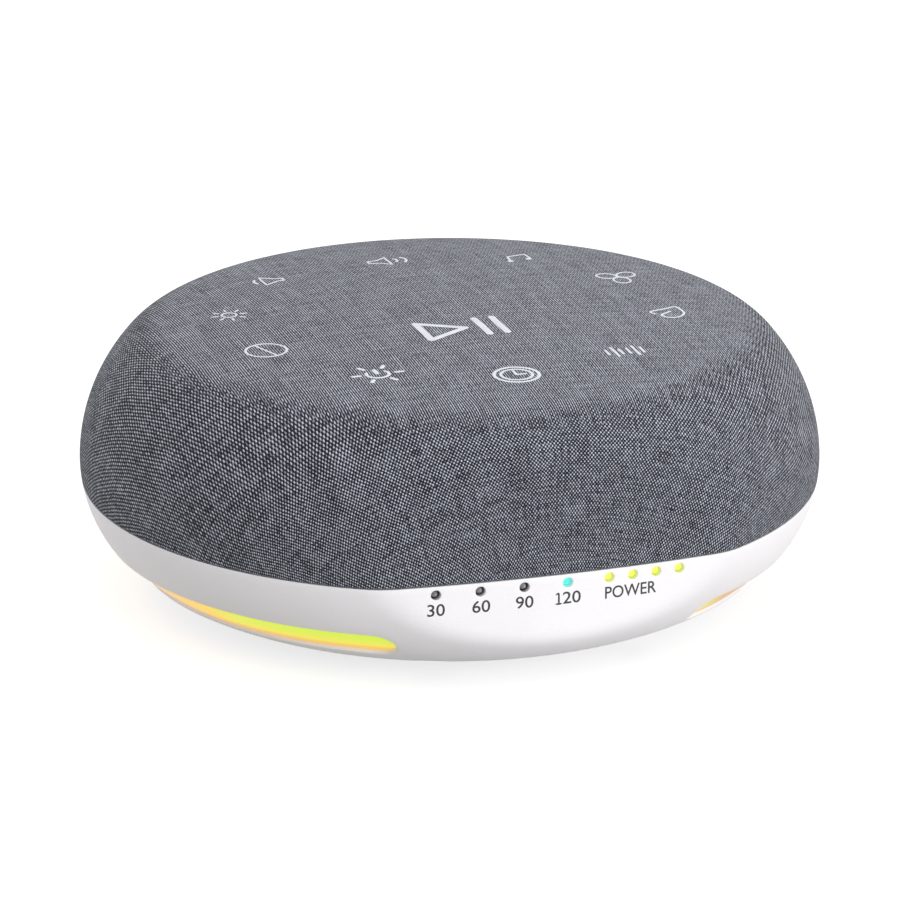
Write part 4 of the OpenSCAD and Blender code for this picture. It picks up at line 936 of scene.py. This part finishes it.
# The words under the lamps: each one's middle and width. The 1 of 120 is drawn as strokes, because
# it has a flag and a foot
WORDS = (("30", -21.6, 3.0), ("60", -13.85, 3.1), ("90", -6.3, 3.1), ("20", 2.03, 3.2),
         ("POWER", 12.65, 9.3))
FIGURE_ONE = (((-0.27, 15.9), (-0.27, 17.93)), ((-0.27, 17.93), (-0.85, 17.5)),
              ((-0.9, 15.93), (0.32, 15.93)))
WORD_Z = 16.9
# Half the strokes' width and height, how far ink stands out of the face and reaches into it, how
# far the signs' ink lies over the cloth, half their height, and the length of a line's parts
ONE_HALF_WIDE, ONE_HALF_HIGH, INK_OUT, INK_IN = 0.16, 0.03, 0.02, 0.05
SIGN_LIFT, SIGN_HALF_HIGH, INK_STEP = 0.02, 0.05, 0.3


class SOUNDMACHINE_OT_words(bpy.types.Operator):
    """Print the minutes and the word under the status lamps"""
    bl_idname = "soundmachine.words"
    bl_label = "Printed figures"

    def execute(self, context):
        points, faces = [], []
        size = context.scene.sound_machine_sizes
        for text, x, width in WORDS:
            curve = bpy.data.curves.new(text, "FONT")
            curve.body, curve.align_x, curve.extrude, curve.resolution_u = text, "CENTER", 0.02, 4
            curve.offset = size.word_weight
            letters = plain("letters", link_new("letters_" + text, curve))
            _, left, right, low, high = with_boxes([[v.co.xy for v in letters.data.vertices]])[0]
            wide, tall = width / (right - left), size.word_height / MM / (high - low)
            places = [on_front(x + (v.co.x - (right + left) / 2) * wide,
                               WORD_Z + (v.co.y - (high + low) / 2) * tall,
                               INK_OUT if v.co.z > 0 else -INK_IN) for v in letters.data.vertices]
            gather(points, faces, places, [face.vertices for face in letters.data.polygons])
            bpy.data.objects.remove(letters)
        for stroke in FIGURE_ONE:
            line = [Vector((x, z, 0)) for x, z in stroke]
            bar, bar_faces = ink_bar(line, False, ONE_HALF_WIDE, ONE_HALF_HIGH)
            gather(points, faces, [on_front(p.x, p.y, p.z * 0.7) for p in bar], bar_faces)
        words = new_piece("lamp_words", points, faces, FINISHES["word_ink"], 30)
        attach(words, "housing")
        return {"FINISHED"}


def arc(x, y, radius, first=0, last=360):
    """Points along an arc, with angles in degrees from +X."""
    turns = [math.radians(t) for t in steps(first, last, max(8, int(abs(last - first) / 10)))]
    return [(x + radius * math.cos(t), y + radius * math.sin(t)) for t in turns]


def rays(width, near, far, count):
    """Lines of a width that lead outwards all round, between two distances."""
    return [(width, [(reach * math.cos(a), reach * math.sin(a)) for reach in (near, far)])
            for a in azimuths(count)]


def petal(turn, reach, long, wide):
    """An oval whose middle lies at a reach from the sign's middle, in degrees from +X."""
    c, s = math.cos(math.radians(turn)), math.sin(math.radians(turn))
    oval = [(reach + long * math.cos(a), wide * math.sin(a)) for a in steps(0, 2 * math.pi, 28)]
    return [(x * c - y * s, x * s + y * c) for x, y in oval]


def smooth_path(points, parts=6):
    """A curve through points, by Catmull-Rom."""
    p = [Vector(v) for v in (points[0], *points, points[-1])]
    path = []
    for k in range(1, len(p) - 2):
        for t in (j / parts for j in range(parts)):
            path.append(0.5 * (2 * p[k] + (p[k + 1] - p[k - 1]) * t
                               + (2 * p[k - 1] - 5 * p[k] + 4 * p[k + 1] - p[k + 2]) * t * t
                               + (3 * p[k] - p[k - 1] - 3 * p[k + 1] + p[k + 2]) * t ** 3))
    return [tuple(v) for v in path] + [points[-1]]


def key_signs():
    """The ten keys' signs: each one's place on the top, and its (line width, path) pairs about it."""
    softer = [(-1, -2.45), (-1, 2.5), (1.5, 0.8), (2.8, 0.7), (2.8, -0.7), (1.5, -0.8), (-1, -2.45)]
    louder = [(0, -2.45), (0, 2.4), (-1.9, 0.9), (-3.65, 0.75), (-3.65, -0.75), (-1.9, -0.9),
              (0, -2.45)]
    leaf = [(-2.42, -0.74), (-3.1, 0.36), (-2.5, 1.13), (0.2, 1.95), (2.28, 2.62), (2.67, 1.0),
            (2.58, -1.16), (1.4, -2.8), (-0.15, -3.3), (-1.5, -2.5), (-1.5, -1.1), (0.72, 0.35)]
    tune = [(-2.0, -1.5), (-1.6, 1.25), (1.9, 2.1), (2.1, -1.0)]
    bars = zip((-3.0, -1.67, -0.56, 0.84, 2.1, 3.3), (1.55, 2.7, 1.6, 1.6, 2.7, 1.6))
    return {
        "timer": ((-0.88, -38.47), [(0.62, arc(0, 0, 3.84)), (0.55, arc(0, 0, 2.7)),
                                    (0.55, [(0, 2.2), (0, 0), (1.9, 0)])]),
        "light": ((-23.05, -30.83), [(0.6, arc(0, 0, 1.95, 140, 405)), (0.85, [(0, -0.1), (0, 2.5)]),
                                     *rays(0.75, 2.8, 4.8, 6)]),
        "off": ((-37.02, -11.97), [(0.48, arc(0, 0, 3.56)), (0.42, [(-1.2, 3.35), (1.05, -3.4)])]),
        "bright": ((-37.31, 9.52), [(0.42, arc(0, 0, 1.3)), *rays(0.42, 1.9, 3.4, 8)]),
        "softer": ((-25.12, 26.5), [(0.42, softer), (0.5, arc(-0.6, 0, 2, 135, 225))]),
        "louder": ((-1.81, 29.48), [(0.42, louder), (0.5, arc(0.3, 0, 1.35, -55, 55)),
                                    (0.5, arc(0.6, 0, 2.7, -43, 43))]),
        "music": ((21.18, 24.8), [(0.45, tune), (0.55, arc(-2.0, -1.7, 0.3)),
                                  (0.55, arc(1.6, -1.1, 0.3))]),
        "fan": ((34.5, 8.94), [(0.42, petal(turn, 2.1, 1.85, 1.5)) for turn in (30, 150, 270)]),
        "nature": ((35.84, -12.93), [(0.45, smooth_path(leaf))]),
        "noise": ((20.8, -32.32), [(0.5, [(x, 0.45 - half), (x, 0.45 + half)])
                                   for x, half in bars]),
    }


# The same for the mark in the middle
PLAY_PAUSE = ((-3.6, -15.8), [(1.25, [(-6.4, -4.6), (-6.4, 4.6), (1.2, 0), (-6.4, -4.6)]),
                              (1.25, [(4.2, -5.0), (4.2, 5.0)]), (1.25, [(7.4, -5.0), (7.4, 5.0)])])


def strokes(path, half_wide):
    """A path split at its sharp corners, as (points, whether it is a loop) pairs. A stroke reaches
    half a line's width past a corner, so that two of them make a round one."""
    points = [Vector((x, y, 0)) for x, y in path]
    last = len(points) - 1
    looped = (points[0] - points[last]).length < 1e-6

    def sharp(before, at, after):
        turn = (points[at] - points[before]).angle(points[after] - points[at])
        return turn > math.radians(38)

    cuts = [k for k in range(1, last) if sharp(k - 1, k, k + 1)]
    if looped and not cuts and not sharp(last - 1, 0, 1):
        return [(points[:-1], True)]
    found = []
    for first, end in zip([0] + cuts, cuts + [last]):
        stroke = points[first:end + 1]
        if first or looped:
            stroke[0] = stroke[0] + (stroke[0] - stroke[1]).normalized() * half_wide
        if end < last or looped:
            stroke[-1] = stroke[-1] + (stroke[-1] - stroke[-2]).normalized() * half_wide
        found.append((stroke, False))
    return found


def ink_bar(points, looped, half_wide, half_high):
    """A printed line as a flattened bar, level: its points and faces. An open one has round ends."""
    path = []
    for a, b in zip(points, points[1:] + points[:1] if looped else points[1:]):
        count = max(1, round((b - a).length / INK_STEP))
        path += [a.lerp(b, k / count) for k in range(count)]
    if not looped:
        path.append(points[-1])
    run = [0.0]
    for a, b in zip(path, path[1:]):
        run.append(run[-1] + (b - a).length)
    rings, up, last = [], Vector((0, 0, 1)), len(path) - 1
    for k, point in enumerate(path):
        if looped:
            before, after, end = path[k - 1], path[(k + 1) % len(path)], 1.0
        else:
            before, after = path[max(k - 1, 0)], path[min(k + 1, last)]
            end = min(run[k], run[-1] - run[k], half_wide) / half_wide
        wide = (after - before).normalized().cross(up)
        size = math.sqrt(max(1 - (1 - end) ** 2, 0.02))
        rings.append([point + wide * (half_wide * size * math.cos(turn))
                      + up * (half_high * math.sin(turn)) for turn in azimuths(8)])
    if looped:
        return tube(rings + rings[:1])
    return tube(rings, path[0], path[-1])


def printed_lines(name, signs, weight):
    """One mesh of printed lines on the top."""
    points, faces = [], []
    for place, lines in signs:
        for width, path in lines:
            half_wide = width * weight / 2
            for stroke, looped in strokes(path, half_wide):
                bar, bar_faces = ink_bar(stroke, looped, half_wide, SIGN_HALF_HIGH)
                bar = [printed_at(place, p.x, p.y, SIGN_LIFT + p.z) for p in bar]
                gather(points, faces, bar, bar_faces)
    return new_piece(name, points, faces, FINISHES["sign_ink"], 60)


class SOUNDMACHINE_OT_signs(bpy.types.Operator):
    """Print the signs of the ten touch keys, and the play and pause mark in the middle"""
    bl_idname = "soundmachine.signs"
    bl_label = "Key signs"

    def execute(self, context):
        weight = context.scene.sound_machine_sizes.sign_weight
        keys = printed_lines("key_signs", key_signs().values(), weight)
        middle = printed_lines("play_pause_mark", [PLAY_PAUSE], weight)
        for piece in (keys, middle):
            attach(piece, "housing")
        return {"FINISHED"}


# ------------------------------------------------------------------ the lamps

def lens_row_tree():
    """Geometry nodes: a row of domed round lenses that follows the bowed front face."""
    tree = bpy.data.node_groups.new("Row of lenses", "GeometryNodeTree")
    for name in ("First place", "Pitch", "Height", "Face distance", "Face bow", "Radius", "Length",
                 "Dome"):
        tree.interface.new_socket(name, in_out="INPUT", socket_type="NodeSocketFloat")
    for name, kind, way in (("Count", "Int", "INPUT"), ("Material", "Material", "INPUT"),
                            ("Geometry", "Geometry", "OUTPUT")):
        tree.interface.new_socket(name, in_out=way, socket_type="NodeSocket" + kind)
    add = adder(tree)
    given = add("NodeGroupInput").outputs
    # Places: along X at the lamps' height, each moved out to the face y = x^2 / 2 bow - distance
    row = add("GeometryNodeMeshLine", {
        "Count": given["Count"], "Offset": add("CombineXYZ", {"X": given["Pitch"]}),
        "Start Location": add("CombineXYZ", {"X": given["First place"], "Z": given["Height"]})})
    x = add("SeparateXYZ", [add("GeometryNodeInputPosition")]).outputs["X"]
    squared = add("Math", (x, x), "MULTIPLY")
    doubled = add("Math", (given["Face bow"], 2.0), "MULTIPLY")
    bowed = add("Math", (squared, doubled), "DIVIDE")
    out = add("Math", (bowed, given["Face distance"]), "SUBTRACT")
    move = add("CombineXYZ", {"Y": out})
    places = add("GeometryNodeSetPosition", {"Geometry": row, "Offset": move})
    # One lens: a straight stem for a quarter of its points, then a quarter turn over the dome
    line = add("GeometryNodeCurvePrimitiveLine")
    line = add("GeometryNodeResampleCurve", {"Curve": line, "Count": 13})
    share = add("GeometryNodeSplineParameter").outputs["Factor"]
    stem = add("MapRange", (share, 0.0, 0.25, given["Length"], 0.0))
    turn = add("MapRange", (share, 0.25, 1.0, 0.0, math.pi / 2))
    rise = add("Math", (add("Math", [turn], "SINE"), given["Dome"]), "MULTIPLY")
    place = add("CombineXYZ", {"Y": add("Math", (stem, rise), "SUBTRACT")})
    line = add("GeometryNodeSetPosition", {"Geometry": line, "Position": place})
    radius = add("Math", (add("Math", [turn], "COSINE"), given["Radius"]), "MULTIPLY")
    section = add("GeometryNodeCurvePrimitiveCircle", {"Resolution": 24, "Radius": 1.0})
    lens = add("GeometryNodeCurveToMesh", {"Curve": line, "Profile Curve": section, "Scale": radius,
                                           "Fill Caps": True})
    lens = add("GeometryNodeMergeByDistance", {"Geometry": lens, "Distance": WELD * MM})
    lens = add("GeometryNodeSetShadeSmooth", {"Geometry": lens})
    copies = add("GeometryNodeInstanceOnPoints", {"Points": places, "Instance": lens})
    real = add("GeometryNodeRealizeInstances", {"Geometry": copies})
    done = add("GeometryNodeSetMaterial", {"Geometry": real, "Material": given["Material"]})
    add("NodeGroupOutput", {"Geometry": done})
    return tree


class SOUNDMACHINE_OT_lamps(bpy.types.Operator):
    """Make the eight status lamps' domed lenses, in rows that follow the front face"""
    bl_idname = "soundmachine.lamps"
    bl_label = "Status lamps"

    def execute(self, context):
        tree, size = lens_row_tree(), context.scene.sound_machine_sizes
        off = ("timer_lens_30", "timer_lens_60", "timer_lens_90")
        for name, count, first, pitch, slot, nodes in (
                ("timer_lamps_unlit", 3, TIMER_X, TIMER_PITCH, "lens_off", off),
                ("timer_lamp_lit", 1, TIMER_X + 3 * TIMER_PITCH, TIMER_PITCH, "lens_cyan",
                 ("timer_lens_120",)),
                ("charge_lamps", 4, CHARGE_X, CHARGE_PITCH, "lens_green", ("power_lenses",))):
            lamps = grown(name, tree, {
                "Count": count, "First place": first * MM, "Pitch": pitch * MM,
                "Height": size.lamp_z, "Face distance": FRONT_Y * MM - size.lamp_dome / 2,
                "Face bow": FRONT_BOW * MM, "Radius": size.lamp_radius, "Length": 2.6 * MM,
                "Dome": size.lamp_dome, "Material": FINISHES[slot]})
            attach(lamps, "housing")
            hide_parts(*nodes)
        return {"FINISHED"}


# ------------------------------------------------------------------ the speaker's suspension

# The surround: heights of its inner and outer land and of its crown, its thickness, the radius of
# its crown and half the roll's width, and the lands' ends
LAND_IN, LAND_OUT, CROWN_Z, RUBBER_T = 45.02, 45.62, 47.12, 0.42
ROLL_R, ROLL_HALF = 17.85, 1.25
INNER_LAND = [(15.18, 44.56), (16.55, LAND_IN)]
OUTER_LAND = [(19.1, LAND_OUT), (20.18, LAND_OUT)]
# The spider: its inner and outer radius and height, the waves' height, and its thickness
SPIDER_R, SPIDER_Z, SPIDER_WAVE, SPIDER_T = (5.24, 12.2), (38.35, 37.8), 0.14, 0.2


class SOUNDMACHINE_OT_suspension(bpy.types.Operator):
    """Make the speaker's rubber surround and cloth spider, which give as the diaphragm moves"""
    bl_idname = "soundmachine.suspension"
    bl_label = "Speaker suspension"

    def execute(self, context):
        # The roll is split at its crown
        under = CROWN_Z - RUBBER_T
        turns = steps(0, math.pi / 2, 8)
        rising = [(ROLL_R - ROLL_HALF * math.cos(t), LAND_IN + (under - LAND_IN) * math.sin(t))
                  for t in turns]
        falling = [(ROLL_R + ROLL_HALF * math.sin(t), LAND_OUT + (under - LAND_OUT) * math.cos(t))
                   for t in turns]
        for name, line, end, other, start in (
                ("surround_inner", INNER_LAND + rising[1:], "diaphragm", "housing", LAND_IN),
                ("surround_outer", falling[:-1] + OUTER_LAND, "housing", "diaphragm", LAND_OUT)):
            section = line + [(r, z + RUBBER_T) for r, z in reversed(line)]
            piece = revolved(name, section, FINISHES["surround_rubber"])
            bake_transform(piece)
            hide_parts("surround")
        # Waves on a slight cone
        parts = 64
        line = [(r, z + SPIDER_WAVE * math.sin(k * math.pi / 4)) for k, (r, z) in
                enumerate(zip(steps(*SPIDER_R, parts), steps(*SPIDER_Z, parts)))]
        spider = revolved("spider_waves", line + [(r, z + SPIDER_T) for r, z in reversed(line)],
                          FINISHES["spider_cloth"], 60)
        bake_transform(spider)
        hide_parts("spider")
        return {"FINISHED"}


class SOUNDMACHINE_OT_finishes(bpy.types.Operator):
    """Make the finishes, and give every carried-over node its own"""
    bl_idname = "soundmachine.finishes"
    bl_label = "Finishes of the inner parts"

    def execute(self, context):
        make_finishes(context.scene.sound_machine_look)
        for part in frame["record"]["subparts"]:
            node = frame["nodes"][part["node"]]
            material = FINISHES[part["material_slot"]]
            if not node.material_slots:
                node.data.materials.append(material)
            for slot in node.material_slots:
                slot.material = material
        return {"FINISHED"}


# ------------------------------------------------------------------ the stage

# Each lamp's azimuth from the front, elevation, distance, size and power
LIGHTS = {"key": (28, 10, 900, 520, 4.35), "top": (10, 78, 900, 800, 1.7)}
AIM = Vector((0, 0, 30)) * MM
# The camera's aim and distance in metres, its lens, and its shifts in shares of the picture's width
CAMERA_AIM, CAMERA_DISTANCE = Vector((0, 0, 26.15)) * MM, 1.040
CAMERA_LENS, CAMERA_SHIFTS = 236.59, (0.4 / 900, -8.8 / 900)
FLOOR_HALF, FLOOR_DROP = 3000, 0.02
WHITE = (1, 1, 1, 1)


class SOUNDMACHINE_OT_stage(bpy.types.Operator):
    """Set up the pale floor, the soft lamps and the camera"""
    bl_idname = "soundmachine.stage"
    bl_label = "Stage"

    def execute(self, context):
        scene = context.scene
        scene.view_settings.view_transform = "Standard"
        corners = [(x * FLOOR_HALF, y * FLOOR_HALF, -FLOOR_DROP)
                   for x, y in ((-1, -1), (1, -1), (1, 1), (-1, 1))]
        floor = new_piece("floor", corners, [(0, 1, 2, 3)], white_floor(), mended=False)
        scene.world = bpy.data.worlds.new("Studio")
        scene.world.use_nodes = True
        tree = scene.world.node_tree
        add = adder(tree)
        soft = add(tree.nodes["Background"], {"Color": WHITE, "Strength": 0.87})
        white = add("Background", {"Color": WHITE, "Strength": 1.0})
        add(tree.nodes["World Output"], {"Surface": add("MixShader", (seen(add), soft, white))})
        for name, (azimuth, elevation, distance, size, power) in LIGHTS.items():
            lamp = bpy.data.lights.new(name, "AREA")
            lamp.shape, lamp.size, lamp.energy = "DISK", size * MM, power
            obj = link_new(name, lamp)
            obj.location = AIM + direction(azimuth, elevation) * distance * MM
            obj.rotation_euler = (obj.location - AIM).to_track_quat("Z", "Y").to_euler()
        lens = bpy.data.cameras.new("camera")
        lens.lens, lens.sensor_width = CAMERA_LENS, 36
        lens.shift_x, lens.shift_y = CAMERA_SHIFTS
        lens.clip_start, lens.clip_end = 0.1, 20
        camera = link_new("camera", lens)
        camera.location = CAMERA_AIM + SIGHT * CAMERA_DISTANCE
        camera.rotation_euler = SIGHT.to_track_quat("Z", "Y").to_euler()
        scene.camera = camera
        return {"FINISHED"}


def seen(add):
    """1 where a camera, glossy or transmission ray arrives."""
    path = add("LightPath").outputs
    some = add("Math", (path["Is Camera Ray"], path["Is Glossy Ray"]), "MAXIMUM")
    return add("Math", (some, path["Is Transmission Ray"]), "MAXIMUM")


def white_floor():
    """Plain paper backdrop: white to the eye, with the machine's soft shadow on it. From below it is
    clear, so that the underside shows."""
    material, add, shader, _ = shaded("Paper backdrop, white", Roughness=0.9,
                                      Specular_IOR_Level=0.0, Base_Color=(0.42, 0.42, 0.42, 1))
    lit = add("BsdfDiffuse", {"Color": (0.45, 0.45, 0.45, 1)})
    both = add("AddShader", (lit, add("Emission", {"Strength": 0.72})))
    paper = add("MixShader", (seen(add), shader, both))
    below = add("NewGeometry").outputs["Backfacing"]
    add(material.node_tree.nodes["Material Output"],
        {"Surface": add("MixShader", (below, paper, add("BsdfTransparent")))})
    return material


class SOUNDMACHINE_PT_panel(bpy.types.Panel):
    """Lists the machine's pieces"""
    bl_label = "Sound machine"
    bl_idname = "SOUNDMACHINE_PT_panel"
    bl_space_type = "VIEW_3D"
    bl_region_type = "UI"
    bl_category = "Sound machine"

    def draw(self, context):
        for group in (context.scene.sound_machine_look, context.scene.sound_machine_sizes):
            for key in group.__annotations__:
                self.layout.prop(group, key)
        for operator in OPERATORS:
            self.layout.operator(operator.bl_idname)


OPERATORS = (SOUNDMACHINE_OT_stage, SOUNDMACHINE_OT_finishes, SOUNDMACHINE_OT_base,
             SOUNDMACHINE_OT_cover, SOUNDMACHINE_OT_lamps, SOUNDMACHINE_OT_words,
             SOUNDMACHINE_OT_signs, SOUNDMACHINE_OT_suspension)
CLASSES = (SoundMachineLook, SoundMachineSizes) + OPERATORS + (SOUNDMACHINE_PT_panel,)


def register():
    for cls in CLASSES:
        bpy.utils.register_class(cls)
    bpy.types.Scene.sound_machine_look = bpy.props.PointerProperty(type=SoundMachineLook)
    bpy.types.Scene.sound_machine_sizes = bpy.props.PointerProperty(type=SoundMachineSizes)


def unregister():
    del bpy.types.Scene.sound_machine_sizes
    del bpy.types.Scene.sound_machine_look
    for cls in reversed(CLASSES):
        bpy.utils.unregister_class(cls)


def main():
    register()
    for operator in OPERATORS:
        name = operator.bl_idname.split(".")[1]
        if getattr(bpy.ops.soundmachine, name)() != {"FINISHED"}:
            raise RuntimeError(f"{operator.bl_label} could not be made")


if __name__ == "__main__":
    main()
